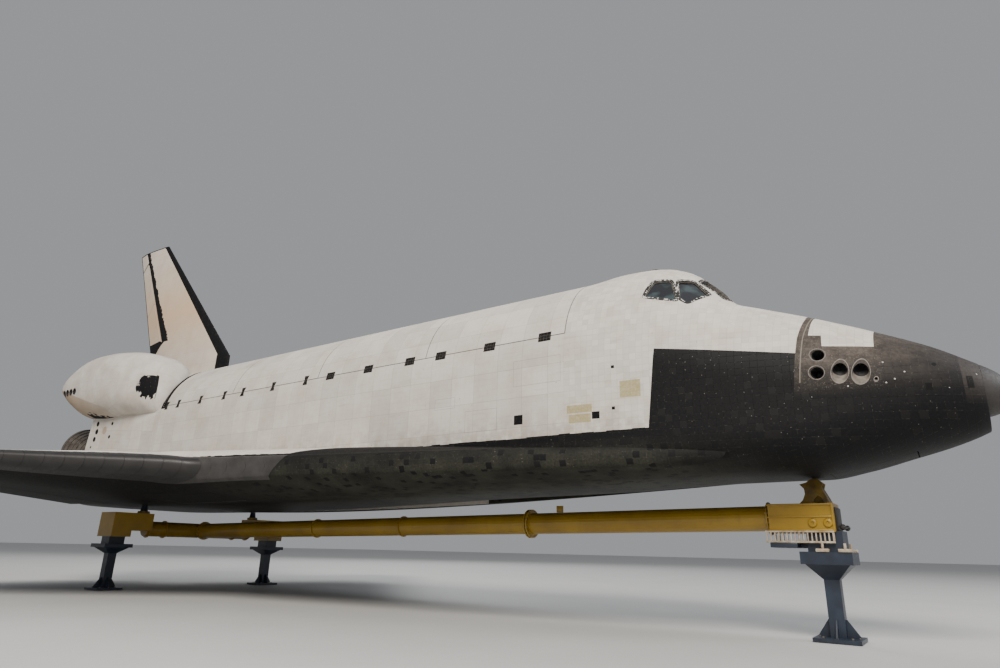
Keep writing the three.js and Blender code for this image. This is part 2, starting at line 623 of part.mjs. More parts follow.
function buildFin() {
  const { root, knee, tip } = FIN;
  let whole = loft([root, knee, tip].map((end) => finRing(end.height, end.trail)));
  whole = whole.subtract(lathe([[0, 38], [43, 38], [43, 76], [48, 160], [0, 160]], MAIN_ENGINES[0], 32));
  const radiusAt = (height) => finHalf(height) * 0.98;
  const [low, high] = [RUDDER_BOTTOM_HEIGHT, RUDDER_TOP_HEIGHT];
  const slot = loft([low, high].map((height) => {
    const front = -radiusAt(height) - 0.5;
    const corners = [[front, -40], [160, -40], [160, 40], [front, 40]];
    return corners.map(([across, butt]) => besideHinge(height, across, butt));
  }));
  add("vertical_fin", whole.subtract(slot).subtract(aftSkin(FIT_GAP)), "white_tile");
  const end = (height, lift) => besideHinge(height, 0, 0).add(
    new THREE.Vector3(-Math.sin(rudderLean), 0, Math.cos(rudderLean)).multiplyScalar(lift * INCH),
  );
  const tube = bar(end(low, MOVING_GAP), end(high, -MOVING_GAP), radiusAt(low), radiusAt(high), 24);
  add("rudder_hinge_tube", tube, "black_tile");
  const panel = loft([low + MOVING_GAP, high - MOVING_GAP].map((height) => {
    const front = radiusAt(height) + 0.4;
    const chord = finStation("trail", height) - finStation("hinge", height);
    const back = chord / (Math.cos(rudderLean) + Math.sin(rudderLean) * trailSlope);
    const gap = MOVING_GAP / 2;
    return [[front, gap], [back, gap], [back, gap + 0.7], [front, finHalf(height) * 0.93]]
      .map(([across, butt]) => besideHinge(height, across, butt));
  }));
  add("rudder_panel_left", panel, "white_tile");
  add("rudder_panel_right", mirrored(panel), "white_tile");
}

// Cradle and piers
function pier(name, size, side, blockTop) {
  const { station, column, foot, platform, plate, haunch, block, top } = size;
  const butt = side * size.butt;
  const square = (half, height) => [[-1, -1], [1, -1], [1, 1], [-1, 1]].map(
    ([along, across]) => place(station + along * half, butt + across * half, height),
  );
  const post = (lowHalf, low, highHalf, high) => loft([square(lowHalf, low), square(highHalf, high)]);
  const body = post(column, FLOOR_HEIGHT, column, top)
    .add(post(foot, FLOOR_HEIGHT, foot, FLOOR_HEIGHT + PIER_FOOT_THICKNESS))
    .add(post(column, top - plate - haunch, platform - 2, top - plate + 1))
    .add(post(platform, top - plate, platform, top))
    .add(post(block, top - 1, block, blockTop - FIT_GAP));
  add(name, body, "pier_grey");
}

function buildStand() {
  const { bracketFoot, bracketHead, attachStation, attachHeight, haunch, strut } = STAND;
  const { tubeRadius, tubeFront, tubeBack } = STAND;
  const { front, back, half, low, high } = STAND.box;
  add("stand_forward_box", box(front, back, -half, half, low, high), "stand_yellow");
  const square = (end, height) => [
    place(end.front, -end.half, height), place(end.back, -end.half, height),
    place(end.back, end.half, height), place(end.front, end.half, height),
  ];
  const bracket = loft([square(bracketFoot, high + FIT_GAP), square(bracketHead, bracketHead.height)]);
  const ball = bar(
    place(attachStation, 0, bracketHead.height - 1), place(attachStation, 0, attachHeight), 4, 3, 20,
  );
  add("stand_forward_bracket", bracket.add(ball), "stand_yellow");
  const tube = bar(
    place(tubeFront.station + MOVING_GAP, 0, tubeFront.height),
    place(tubeBack.station - tubeRadius - MOVING_GAP, 0, tubeBack.height), tubeRadius, tubeRadius, 24,
  );
  add("stand_centre_tube", tube, "stand_yellow");
  const reach = haunch.inner + 1;
  const { station, height } = tubeBack;
  let cross = bar(place(station, -reach, height), place(station, reach, height), tubeRadius, tubeRadius, 24);
  const across = (inner, outer, lowest, highest) => box(
    station - haunch.half, station + haunch.half, inner, outer, lowest, highest,
  );
  const corner = across(haunch.inner, haunch.outer, haunch.low, haunch.high)
    .add(across(haunch.toeInner, haunch.outer, haunch.toeLow, haunch.low + 1));
  cross = cross.add(corner).add(mirrored(corner));
  add("stand_cross_beam", cross, "stand_yellow");
  for (const [side, name] of [[1, "left"], [-1, "right"]]) {
    const end = (at) => place(station, side * strut.butt, at);
    const rod = bar(end(haunch.high + FIT_GAP), end(strut.height), strut.lowRadius, strut.highRadius, 20);
    add(`stand_aft_strut_${name}`, rod, "pier_grey");
    pier(`aft_pier_${name}`, AFT_PIER, side, haunch.toeLow);
  }
  pier("forward_pier", FORWARD_PIER, 1, low);
}

buildForward();
buildCabin();
buildBay();
buildAft();
buildPods();
buildWings();
buildFin();
buildStand();

export default group;
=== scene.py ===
"""Space shuttle orbiter on its yellow display cradle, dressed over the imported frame."""

import functools
import json
import math
import operator

import bpy
import numpy as np
from mathutils import Matrix, Vector
from mathutils.bvhtree import BVHTree

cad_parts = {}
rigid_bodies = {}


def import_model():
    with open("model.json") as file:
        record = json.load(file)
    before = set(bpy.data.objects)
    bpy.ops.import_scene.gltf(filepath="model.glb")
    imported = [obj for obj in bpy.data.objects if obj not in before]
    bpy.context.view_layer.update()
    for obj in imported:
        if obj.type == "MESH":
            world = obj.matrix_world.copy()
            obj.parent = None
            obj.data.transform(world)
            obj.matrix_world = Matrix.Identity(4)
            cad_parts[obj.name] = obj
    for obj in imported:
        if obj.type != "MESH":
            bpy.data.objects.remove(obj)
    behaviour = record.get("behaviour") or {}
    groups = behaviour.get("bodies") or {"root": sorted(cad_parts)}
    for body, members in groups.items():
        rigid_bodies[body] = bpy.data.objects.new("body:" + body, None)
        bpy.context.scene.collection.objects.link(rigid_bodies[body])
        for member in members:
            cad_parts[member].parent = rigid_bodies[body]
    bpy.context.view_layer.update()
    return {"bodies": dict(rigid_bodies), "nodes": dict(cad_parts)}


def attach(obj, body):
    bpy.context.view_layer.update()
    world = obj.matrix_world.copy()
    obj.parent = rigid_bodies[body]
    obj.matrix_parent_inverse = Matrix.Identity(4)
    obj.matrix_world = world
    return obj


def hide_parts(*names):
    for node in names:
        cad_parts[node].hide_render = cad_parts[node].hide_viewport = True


bl_info = {
    "name": "Orbiter on its cradle",
    "version": (1, 0, 0),
    "blender": (4, 5, 0),
    "location": "3D View > Sidebar > Orbiter",
    "description": "Dresses the packed orbiter with its skins, tiles, windows, engines and cradle",
    "category": "Add Mesh",
}

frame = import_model()

# Places are inches in the orbiter's own drawing frame: a station grows from nose to tail, a
# butt grows out from the middle plane, a height grows up.
INCH = 0.0254
MID_STATION = 968.5
FLOOR_HEIGHT = 149.4
ROOT = "orbiter_and_cradle"
SIDES = ((1, "left"), (-1, "right"))
MOVING_GAP = 0.3
WALL = 6
NOSE = 235
NOSE_CAP_BACK = 255
CABIN_FRONT = 436
CABIN_BACK = 576
BAY_FRONT = 582
BAY_BACK = 1307
SILL_HEIGHT = 420.3
BAY_RADIUS = 93
BAY_CENTRE_HEIGHT = 400
BASE_STATION = 1507
BASE_HEIGHT = 412
BASE_SLANT = 0.157
SLANT_START = 1440
TILE = 0.1524

# Body sections: bottom and top on the middle plane, the heights where the lower and upper
# arcs end at the side, the half width, and how square each arc is.
BODY_COLUMNS = ("bottom", "low_side", "top_side", "top", "half", "low_power", "top_power")
BODY_ROWS = (
    (235, 338, 338, 338, 338, 0, 2, 2),
    (237, 329.5, 338, 338, 346.5, 8.5, 2, 2),
    (242, 321.5, 338, 338, 356, 17, 2, 2),
    (250, 315, 338, 339, 363, 25.5, 2, 2),
    (262, 309, 338, 340, 371, 35, 2, 2),
    (285, 301, 337, 342, 385.5, 48, 2.1, 2),
    (310, 294.5, 335, 345, 398, 57.5, 2.3, 2),
    (345, 286, 330, 348, 414.3, 68, 2.6, 2),
    (380, 281, 322, 352, 429.2, 77, 2.9, 2),
    (415, 281.5, 318, 358, 442.8, 85, 2.9, 2),
    (438, 281.5, 316, 362.5, 453, 89.5, 2.9, 1.95),
    (448, 281.5, 315.5, 365, 466.5, 91, 2.9, 1.93),
    (460, 281.5, 315, 368, 479.5, 93, 2.9, 1.9),
    (478, 281, 314, 372, 495, 95.5, 2.9, 1.87),
    (500, 280.5, 312, 378, 504, 98.5, 2.9, 1.9),
    (520, 280, 310, 383, 506.5, 100.5, 2.9, 1.93),
    (540, 279, 308, 388, 506, 102.5, 2.9, 1.98),
    (582, 277.5, 305, 393, 500, 105, 2.9, 2.1),
    (740, 274.5, 304, 393, 500, 105, 3, 2.1),
    (900, 270.5, 303, 393, 500, 105, 3.6, 2.1),
    (1000, 268.5, 303, 393, 500, 105, 4.5, 2.1),
    (1100, 267.3, 303, 393, 500, 105, 6, 2.1),
    (1200, 267, 303, 393, 500, 105, 8, 2.1),
    (1307, 267, 303, 393, 500, 105, 8, 2.1),
    (1360, 267, 303, 396, 500, 107, 6, 2.2),
    (1440, 268, 304, 402, 499, 111, 6, 2.4),
    (1507, 272, 306, 408, 497, 113, 6, 2.6),
)

# The nose cap sits higher than the skin behind it, so the chin's front face is bare below it.
CAP_ROWS = (
    (235, 341, 341, 341, 341, 0, 2, 2),
    (237, 334.5, 341, 341, 347.5, 8.5, 2, 2),
    (242, 329, 341, 341, 356, 16.5, 2, 2),
    (248, 325.6, 340, 341, 361.6, 23, 2, 2),
    (255, 324, 339.5, 341, 366.4, 29, 2, 2),
)

# Wing sections from root to tip: leading edge station and height, length of its rounded nose
# and the heights above and below at its back, top and bottom heights at the thickest station.
WING_COLUMNS = ("lead", "edge", "nose_length", "nose_top", "nose_bottom", "crown_top", "bottom")
WING_ROWS = (
    (84, 440, 297, 50, 305, 286, 331, 268),
    (95, 484, 297, 48, 306, 285.5, 331.5, 267.7),
    (105, 533, 297, 46, 307, 285, 332, 267.5),
    (125, 625, 297.5, 42, 308.5, 285, 331, 269),
    (150, 764, 298, 38, 310, 286, 330, 271),
    (175, 922, 299, 32, 312, 287, 329, 273.2),
    (192, 1028, 303, 34, 315, 286, 328.5, 274.8),
    (215, 1051, 305, 34, 316.5, 288, 328, 276.5),
    (312, 1148, 306, 26, 314, 292, 321, 285),
    (468.34, 1304.3, 308, 12, 311, 305, 313, 300),
)
GLOVE_BUTT = 192
EDGE_PANEL_BUTTS = (167, 172, 176, 180, 184, 188, *(GLOVE_BUTT + 15.06 * k for k in range(19)))
EDGE_PANEL_FRONT = {"station": 900, "height": 311.7, "slope": -1}
CROWN_STATION = 1165
ELEVON_HINGE_STATION = 1387
HINGE_ROOT = {"butt": 105, "height": 284, "radius": 14}
HINGE_TIP = {"butt": 446, "height": 305, "radius": 5.5}
TRAIL_ROOT_STATION = 1525.2
TRAIL_SWEEP = 0.1773
TRAIL_HALF_THICKNESS = 0.8
TRAIL_DROP = 12
MAIN_WELL = {"front": 1045, "back": 1185, "inner": 112, "outer": 168, "depth": 10}
MAIN_DOOR_HINGE = {"station": 1115, "height": 275.2, "slope": 0.0543}
NOSE_WELL = {"front": 306, "back": 372, "half": 20, "depth": 12}
DOOR_THICKNESS = 3
DOOR_FRONT_GAP = 0.8

# Window panes: corners as station, butt, height.
PANES = {
    "side": ((476.5, 74.5, 443.4), (486.3, 56.9, 471.5), (501.5, 63.8, 471.5), (506.5, 79.7, 450.9)),
    "quarter": (
        (466.3, 72.6, 439.5), (452.3, 49.8, 452.5), (467.6, 43.3, 471.4), (480.5, 54.2, 471.1),
        (474.5, 71.5, 445),
    ),
    "front": ((442.5, 35, 451), (463.5, 38.5, 471.8), (466, 3, 484.5), (441, 3, 456)),
    "overhead": ((510, 30, 501), (510, 9, 505), (534, 9, 506), (534, 30, 502)),
}
HATCH = {"station": 514, "height": 357, "outer": 20, "inner": 17}

MAIN_ENGINES = {
    "main_engine_upper": {"station": 1445, "butt": 0, "height": 443, "up": 16, "out": 0},
    "main_engine_left": {"station": 1468.17, "butt": 53, "height": 342.64, "up": 10, "out": 3.5},
    "main_engine_right": {"station": 1468.17, "butt": -53, "height": 342.64, "up": 10, "out": -3.5},
}
MAIN_BELL = {
    "throat": 36, "start": 64, "length": 157, "throat_radius": 5.2, "exit_radius": 45.35, "wall": 1.6,
}
ORBIT_BELL = {"throat": 12, "start": 30, "length": 77, "throat_radius": 3, "exit_radius": 22.5, "wall": 1}
ORBIT_ENGINE = {"station": 1518, "butt": 88, "height": 492, "up": 15.8, "out": 6.5}
FLAP_HINGE = {"station": 1532, "height": 287, "radius": 5.5}
FLAP_CHORD = 81
FLAP_HALF_WIDTH = 118

POD_COLUMNS = ("butt", "height", "half_width", "half_height")
POD_ROWS = (
    (1311, 84, 452, 22, 34),
    (1322, 85, 454, 32, 46),
    (1345, 88, 460, 41, 50),
    (1400, 94, 468, 51, 55),
    (1470, 97, 471, 53, 58),
    (1515, 97, 472.5, 53, 55.5),
    (1545, 99, 472.5, 51, 42.5),
    (1567, 103, 471.5, 45, 23.5),
    (1576, 106, 468.5, 38, 14),
)
POD_START = (1308.2, 84, 448, 10, 18)
POD_POWER = 2.5

# Fin: leading edge, rudder hinge line and trailing edge as stations at three heights.
FIN = {
    "root": {"height": 490, "lead": 1309, "hinge": 1462.6, "trail": 1541.5},
    "knee": {"height": 531.1, "lead": 1309, "hinge": 1488.7, "trail": 1561.8},
    "tip": {"height": 815.7, "lead": 1593.6, "hinge": 1669.5, "trail": 1702.1},
    "root_half": 13,
    "tip_half": 5,
}
RUDDER_BOTTOM_HEIGHT = 590
RUDDER_TOP_HEIGHT = 789

# Small engines that turn the orbiter: place, aim as forward, port and up, and mouth radius, given
# for starboard.
FORWARD_THRUSTERS = (
    ((363.2, -68.6, 373.9), (0, -1, 0.05), 5.6),
    ((365.0, -72.7, 358.0), (0, -1, -0.05), 5.6),
    ((348.4, -68.2, 357.4), (0, -0.74, -0.67), 6.2),
    ((333.9, -63.6, 356.4), (0, -0.74, -0.67), 6.4),
    ((324.2, -61.2, 350.3), (0, -0.8, -0.6), 1.3),
    ((350.9, -14.4, 414), (0, 0, 1), 4.8),
    ((306.7, -14.6, 394), (0.72, 0, 0.69), 4.4),
)
AFT_THRUSTERS = (
    *(((station, -149.9, 459), (0, -1, 0), 5.6) for station in (1516, 1529, 1542, 1555)),
    *(((station, -124, 490), (0, -0.3, 0.95), 4.6) for station in (1516, 1529, 1542)),
    ((1576, -122, 471), (-1, 0, 0), 4.6),
    ((1576, -134, 471), (-1, 0, 0), 4.6),
)

DOOR_SEAMS = (582, 762, 944, 1125, 1307)
WIDE_HINGES = (605, 673, 740, 786, 853, 920)
NARROW_HINGES = (967, 1034, 1101, 1145, 1205, 1264, 1296)

# Edges of the black tiles: the belly's edge, the panel below the cabin by a point and the slope of
# its top and of its back, and the white patch that is left on the nose, in the same way.
BELLY_EDGE_HEIGHT = 318.8
CABIN_PANEL = {"station": 380.7, "top": 376.9, "slope": 0.1355, "back": 535.5, "back_slope": -0.108}
NOSE_PATCH = {
    "front": 323, "foot": 379.6, "foot_station": 323.6, "slope": 0.07, "back": 367.8, "back_height": 412,
    "back_slope": -0.09,
}

# Starboard marks as front and back stations, low and high heights, and round ports of the aft
# service panels as station, height, radius.
BLANK_PLATES = ((506.7, 526, 349, 364.7), (553.4, 578.9, 338.5, 346), (554.6, 577, 329, 337))
SMALL_BLACKS = (
    (546, 553.5, 331.5, 338.3), (628.6, 638.7, 332.8, 342.3),
    (530.6, 533.6, 377.6, 380.4), (531, 534, 338.6, 341.4),
)
NOSE_PANELS = ((261.3, 265.6, 341, 351), (288.3, 292.6, 339.3, 345.1))
SEEN_OUTLINES = ((715, 742, 358, 369), (586, 640, 372, 398), (660, 700, 330, 352))
SERVICE_PORTS = (
    (1488, 406, 4.3), (1487, 392.6, 4.6), (1490, 379.8, 4.3), (1441, 403, 3), (1443, 381, 3),
    (1497, 367, 2),
)
TAN_PORTS = ((1462, 393, 6.5),)
NOSE_PORTS = ((284.5, 361.2, 1.6),)

# Cradle: its front box, its tube from front to back, and its piers as station and butt.
STAND_BOX = {"front": 376, "back": 427, "half": 16}
STAND_TUBE = {"front": 427, "front_height": 247, "back": 1317, "back_height": 234.5, "radius": 11}
STRUT_BUTT = 96.5
PIERS = ((384, 0), (1317, 134), (1317, -134))
PIER_COLUMN = 6
PIER_FOOT = 18

# Camera of the photograph: place in metres, turn in degrees, lens and sensor in millimetres.
CAMERA = {
    "place": (17.37608, -16.38802, 1.649), "yaw": 124.65828, "pitch": 18.28734, "roll": 1.28216,
    "lens": 23.5918, "sensor": 36,
}


def place(station, butt, height):
    return Vector(((MID_STATION - station) * INCH, butt * INCH, (height - FLOOR_HEIGHT) * INCH))


def aim(up, out=0.0):
    """Direction that points aft, raised by up and turned to port by out, in degrees."""
    up, out = math.radians(up), math.radians(out)
    return Vector((-math.cos(up) * math.cos(out), math.cos(up) * math.sin(out), math.sin(up)))


class Table:
    """Rows of a drawing table, with smooth values between them that never overshoot."""

    def __init__(self, columns, rows, scale=lambda value: value):
        self.columns, self.scale = columns, scale
        rows = np.array(rows, float)
        self.x, self.y = scale(rows[:, 0]), rows[:, 1:]
        step = np.diff(self.x)[:, None]
        rise = np.diff(self.y, axis=0) / step
        before, after = 2 * step[1:] + step[:-1], step[1:] + 2 * step[:-1]
        with np.errstate(divide="ignore", invalid="ignore"):
            inner = (before + after) / (before / rise[:-1] + after / rise[1:])
        inner = np.where(rise[:-1] * rise[1:] > 0, inner, 0)
        self.slope = np.vstack((rise[:1], inner, rise[-1:]))

    def at(self, value):
        x = float(self.scale(np.array(float(value))))
        i = int(np.clip(np.searchsorted(self.x, x) - 1, 0, len(self.x) - 2))
        step = self.x[i + 1] - self.x[i]
        t = (x - self.x[i]) / step
        keep = (1 + 2 * t) * (1 - t) ** 2
        values = keep * self.y[i] + (1 - keep) * self.y[i + 1]
        values = values + t * (1 - t) * step * ((1 - t) * self.slope[i] - t * self.slope[i + 1])
        return dict(zip(self.columns, values))


BODY = Table(BODY_COLUMNS, BODY_ROWS, lambda station: np.sqrt(np.maximum(station - NOSE, 0)))
CAP = Table(BODY_COLUMNS, CAP_ROWS, lambda station: np.sqrt(np.maximum(station - NOSE, 0)))
WING = Table(WING_COLUMNS, WING_ROWS)


# Meshes

def new_object(name, points, faces, girth=None, zones=None):
    """A linked mesh object from points in metres, its faces turned outwards."""
    points = np.asarray(points, float).reshape(-1, 3)
    mesh = bpy.data.meshes.new(name)
    mesh.from_pydata(points.tolist(), [], faces)
    volume = 0.0
    for face in mesh.polygons:
        a = points[face.vertices[0]]
        for j in range(1, len(face.vertices) - 1):
            volume += a @ np.cross(points[face.vertices[j]], points[face.vertices[j + 1]])
    if volume < 0:
        mesh.flip_normals()
    if girth is not None:
        layer = mesh.uv_layers.new(name="skin")
        spread = np.asarray(girth, float).reshape(-1, 2)
        corners = np.zeros(len(mesh.loops), int)
        mesh.loops.foreach_get("vertex_index", corners)
        layer.data.foreach_set("uv", spread[corners].ravel())
    for zone in range(5):
        blank = f"zone {zone}"
        mesh.materials.append(bpy.data.materials.get(blank) or bpy.data.materials.new(blank))
    if zones is not None:
        mesh.polygons.foreach_set("material_index", np.asarray(zones, int))
    return shown(bpy.data.objects.new(name, mesh))


def shown(made):
    bpy.context.scene.collection.objects.link(made)
    return made


def loft(name, rings, girth=None, zones=None, caps=(0, 0)):
    """A skin over rings of the same number of points. zones gives a material number for each
    point of a ring, caps the material numbers of the two end faces."""
    rings = np.asarray(rings, float)
    count, around = rings.shape[:2]
    i, j = np.meshgrid(np.arange(count - 1), np.arange(around), indexing="ij")
    a, b = i * around + j, i * around + (j + 1) % around
    faces = np.stack((a, b, b + around, a + around), -1).reshape(-1, 4).tolist()
    face_zones = np.tile(
        np.zeros(around, int) if zones is None else np.asarray(zones, int), count - 1,
    ).tolist()
    faces += [list(range(around))[::-1], [(count - 1) * around + k for k in range(around)]]
    face_zones += list(caps)
    return new_object(name, rings, faces, girth, face_zones)


def lathe(name, profile, origin, direction, sides=64, zones=None):
    """A closed body turned round a line: profile is (radius, distance) from end to end."""
    turn = Vector((0, 0, 1)).rotation_difference(Vector(direction).normalized()).to_matrix()
    points, faces, face_zones = [], [], []
    angles = [2 * math.pi * k / sides for k in range(sides)]
    inner = profile[1:-1]
    for radius, distance in inner:
        for angle in angles:
            spot = Vector((radius * math.cos(angle), radius * math.sin(angle), distance)) * INCH
            points.append(Vector(origin) + turn @ spot)
    for radius, distance in (profile[0], profile[-1]):
        points.append(Vector(origin) + turn @ Vector((0, 0, distance * INCH)))
    first, last = len(points) - 2, len(points) - 1
    for i in range(len(inner) - 1):
        for k in range(sides):
            a, b = i * sides + k, i * sides + (k + 1) % sides
            faces.append((a, b, b + sides, a + sides))
            face_zones.append(0 if zones is None else zones[i + 1])
    end = (len(inner) - 1) * sides
    for k in range(sides):
        faces.append((first, (k + 1) % sides, k))
        face_zones.append(0 if zones is None else zones[0])
        faces.append((last, end + k, end + (k + 1) % sides))
        face_zones.append(0 if zones is None else zones[-1])
    return new_object(name, points, faces, None, face_zones)


def puck(radius, thick, edge=0.2):
    """Profile of a round disc or bar with small cut edges."""
    side = [(radius - edge, 0), (radius, edge), (radius, thick - edge), (radius - edge, thick)]
    return [(0, 0), *side, (0, thick)]


def bar(name, start, finish, radius):
    """A thin round bar between two points in metres, with small cut ends."""
    return lathe(name, puck(radius, (finish - start).length / INCH), start, finish - start, 20)


def block(name, front, back, inner, outer, low, high, bevel=0.0):
    """A box between stations, butts and heights, its edges rounded by bevel inches."""
    corners = [place(s, b, h) for s in (front, back) for b in (inner, outer) for h in (low, high)]
    faces = [(0, 1, 3, 2), (4, 6, 7, 5), (0, 4, 5, 1), (2, 3, 7, 6), (0, 2, 6, 4), (1, 5, 7, 3)]
    made = new_object(name, corners, faces)
    return round_edges(made, bevel) if bevel else made


def round_edges(made, inches):
    modifier = made.modifiers.new("round", "BEVEL")
    modifier.width = inches * INCH
    modifier.segments = 2
    modifier.limit_method = "ANGLE"
    modifier.angle_limit = math.radians(30)
    settle(made)
    return made


def settle(made):
    """Turns an object's modifiers into its own plain mesh."""
    graph = bpy.context.evaluated_depsgraph_get()
    mesh = bpy.data.meshes.new_from_object(
        made.evaluated_get(graph), preserve_all_data_layers=True, depsgraph=graph,
    )
    made.modifiers.clear()
    made.data = mesh


def discard(*objects):
    for made in objects:
        bpy.data.objects.remove(made)


def carve(target, cutters, operation="DIFFERENCE"):
    """Cuts, joins or crosses closed meshes, and removes the cutters."""
    for cutter in cutters:
        modifier = target.modifiers.new("carve", "BOOLEAN")
        modifier.operation = operation
        modifier.solver = "MANIFOLD"
        modifier.object = cutter
    settle(target)
    if not target.data.polygons:
        raise RuntimeError(f"nothing is left of {target.name} after carving")
    discard(*cutters)


def join(name, objects):
    """Several meshes as one object."""
    target = objects[0]
    with bpy.context.temp_override(active_object=target, selected_editable_objects=objects):
        bpy.ops.object.join()
    target.name = name
    return target


def wear(made, slot, node=None, *materials):
    """Gives a finished piece its smooth shading and its materials; its slot is not used. It hides the
    node, where one is given, and rides on the body that has the node's name, or on the orbiter."""
    mesh = made.data
    mesh.shade_smooth()
    mesh.set_sharp_from_angle(angle=math.radians(35))
    if materials:
        zones = np.zeros(len(mesh.polygons), int)
        mesh.polygons.foreach_get("material_index", zones)
        mesh.materials.clear()
        for kind in materials:
            mesh.materials.append(finish(kind))
        mesh.polygons.foreach_set("material_index", zones.clip(0, len(materials) - 1))
    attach(made, node if node in frame["bodies"] else ROOT)
    if node:
        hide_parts(node)


class Surface:
    """A finished skin that other pieces are laid on."""

    def __init__(self, made):
        mesh = made.data
        self.tree = BVHTree.FromPolygons(
            [v.co for v in mesh.vertices], [tuple(p.vertices) for p in mesh.polygons],
        )

    def drop(self, point, lift=0.0):
        """Nearest point of the skin, lifted off it by some inches."""
        spot, normal = self.tree.find_nearest(Vector(point))[:2]
        return spot + normal * lift * INCH

    def hit(self, start, direction):
        spot = self.tree.ray_cast(Vector(start), Vector(direction).normalized())[0]
        if spot is None:
            raise RuntimeError(f"no skin is met from {tuple(start)}")
        return spot


def rounded(points, radius):
    """A polygon's outline with each corner cut back and curved."""
    outline = []
    for k, corner in enumerate(points):
        before, after = points[k - 1] - corner, points[(k + 1) % len(points)] - corner
        a = corner + before.normalized() * min(radius * INCH, before.length * 0.45)
        b = corner + after.normalized() * min(radius * INCH, after.length * 0.45)
        for t in (0, 0.25, 0.5, 0.75, 1):
            outline.append(a * (1 - t) ** 2 + corner * 2 * t * (1 - t) + b * t * t)
    return outline


def finer(outline, longest):
    """The same closed outline with more points on its long runs."""
    points = []
    for k, start in enumerate(outline):
        end = outline[(k + 1) % len(outline)]
        parts = max(1, math.ceil((end - start).length / (longest * INCH)))
        points += [start.lerp(end, i / parts) for i in range(parts)]
    return points


def spread(outline, inches):
    """An outline pushed out from its middle."""
    middle = sum(outline, Vector()) / len(outline)
    return [p + (p - middle).normalized() * inches * INCH for p in outline]


def frame_round(name, sections):
    """A closed frame from sections of four points each, one after the other all the way round."""
    count = len(sections)
    faces = [
        (i * 4 + j, i * 4 + (j + 1) % 4, (i + 1) % count * 4 + (j + 1) % 4, (i + 1) % count * 4 + j)
        for i in range(count) for j in range(4)
    ]
    return new_object(name, [p for section in sections for p in section], faces)


def band(name, surface, inner, outer, lift):
    """A thin frame laid on a skin between two outlines of the same number of points."""
    return frame_round(name, [(
        surface.drop(a, -0.6), surface.drop(a, lift), surface.drop(b, lift), surface.drop(b, -0.6),
    ) for a, b in zip(inner, outer)])


def twin_of(made, name):
    """A copy with its own mesh."""
    twin = shown(made.copy())
    twin.data = made.data.copy()
    twin.name = name
    return twin


def mirrored(made, name):
    """The other side's copy, its faces turned outwards again."""
    twin = twin_of(made, name)
    twin.data.transform(Matrix.Diagonal((1, -1, 1, 1)))
    twin.data.flip_normals()
    return twin


def raised(made, name, inches):
    twin = twin_of(made, name)
    twin.data.transform(Matrix.Translation((0, 0, inches * INCH)))
    return twin


# Body skins

def even(points, count):
    """The same line with count evenly spaced points, and how far along it each one lies."""
    steps = np.linalg.norm(np.diff(points, axis=0), axis=1)
    run = np.concatenate(([0], np.cumsum(steps)))
    wanted = np.linspace(0, run[-1], count)
    return np.stack([np.interp(wanted, run, points[:, k]) for k in range(points.shape[1])], 1), wanted


def half_outline(station, grow=0.0, table=BODY):
    """Butts and heights of the body from its top centre down one side to its bottom centre."""
    row = table.at(station)
    angle = np.linspace(0, math.pi / 2, 200)
    across = np.cos(angle).clip(0)
    half = max(row["half"] + grow, 0)
    top_across = half * across ** (2 / row["top_power"])
    top_rise = np.sin(angle) ** (2 / row["top_power"]) * (row["top"] - row["top_side"] + grow)
    low_across = half * across ** (2 / row["low_power"])
    low_rise = np.sin(angle) ** (2 / row["low_power"]) * (row["low_side"] - row["bottom"] + grow)
    upper = np.stack((top_across, row["top_side"] + top_rise), 1)[::-1]
    lower = np.stack((low_across, row["low_side"] - low_rise), 1)
    return np.vstack((upper, lower[1:]))


def slanted(station, height):
    """How far the aft base leans back under its middle height."""
    share = np.clip((station - SLANT_START) / (BASE_STATION - SLANT_START), 0, 1)
    return station + (BASE_HEIGHT - height) * BASE_SLANT * share


def hull(name, stations, grow=0.0, half_count=64, lean=False, table=BODY, caps=(0, 0)):
    """The body's skin between the first and last station, closed at both ends. grow pushes it out
    by some inches, as one number or one for each station."""
    rings, girth = [], []
    for station, out in zip(stations, np.broadcast_to(grow, len(stations))):
        line, run = even(half_outline(station, out, table), half_count + 1)
        butts = np.concatenate((-line[:, 0], line[-2:0:-1, 0]))
        heights = np.concatenate((line[:, 1], line[-2:0:-1, 1]))
        runs = np.concatenate((run, run[-2:0:-1]))
        places = slanted(station, heights) if lean else np.full(len(heights), station)
        rings.append(np.stack((MID_STATION - places, butts, heights - FLOOR_HEIGHT), 1) * INCH)
        girth.append(np.stack((places * INCH, runs * INCH), 1))
    return loft(name, rings, girth, caps=caps)


def between(front, back, longest):
    return np.linspace(front, back, max(2, math.ceil((back - front) / longest) + 1))


def aft_skirt(spacing):
    """Stations of the aft body with a little more at both ends, for what is cut to fit round it."""
    return [BAY_BACK - 1, *between(BAY_BACK + 1, BASE_STATION, spacing), BASE_STATION + 1.5]


def pane_hole(name, corners, side):
    """A cutter through the corners of a window, with the window's flat outline and its normal."""
    points = [place(station, side * butt, height) for station, butt, height in corners]
    normal = (points[2] - points[0]).cross(points[3] - points[1]).normalized()
    normal = normal if normal.z > 0 else -normal
    outline = rounded(points, 3.5)
    flat = sum(p.dot(normal) for p in outline) / len(outline)
    outline = [p + normal * (flat - p.dot(normal)) for p in outline]
    rings = [[p + normal * reach * INCH for p in outline] for reach in (14, -12)]
    return loft(name, rings, zones=[1] * len(outline)), outline, normal


def hatch_cone(shrink):
    """A cutter that widens outwards through the port wall, shrunk for the hatch itself."""
    profile = [(0, 0), (HATCH["inner"] - shrink, 0), (HATCH["outer"] + 1 - shrink, 30), (0, 30)]
    start = place(HATCH["station"], 85, HATCH["height"])
    return lathe("hatch_cone", profile, start, (0, 1, 0), 64, [1, 1, 1])


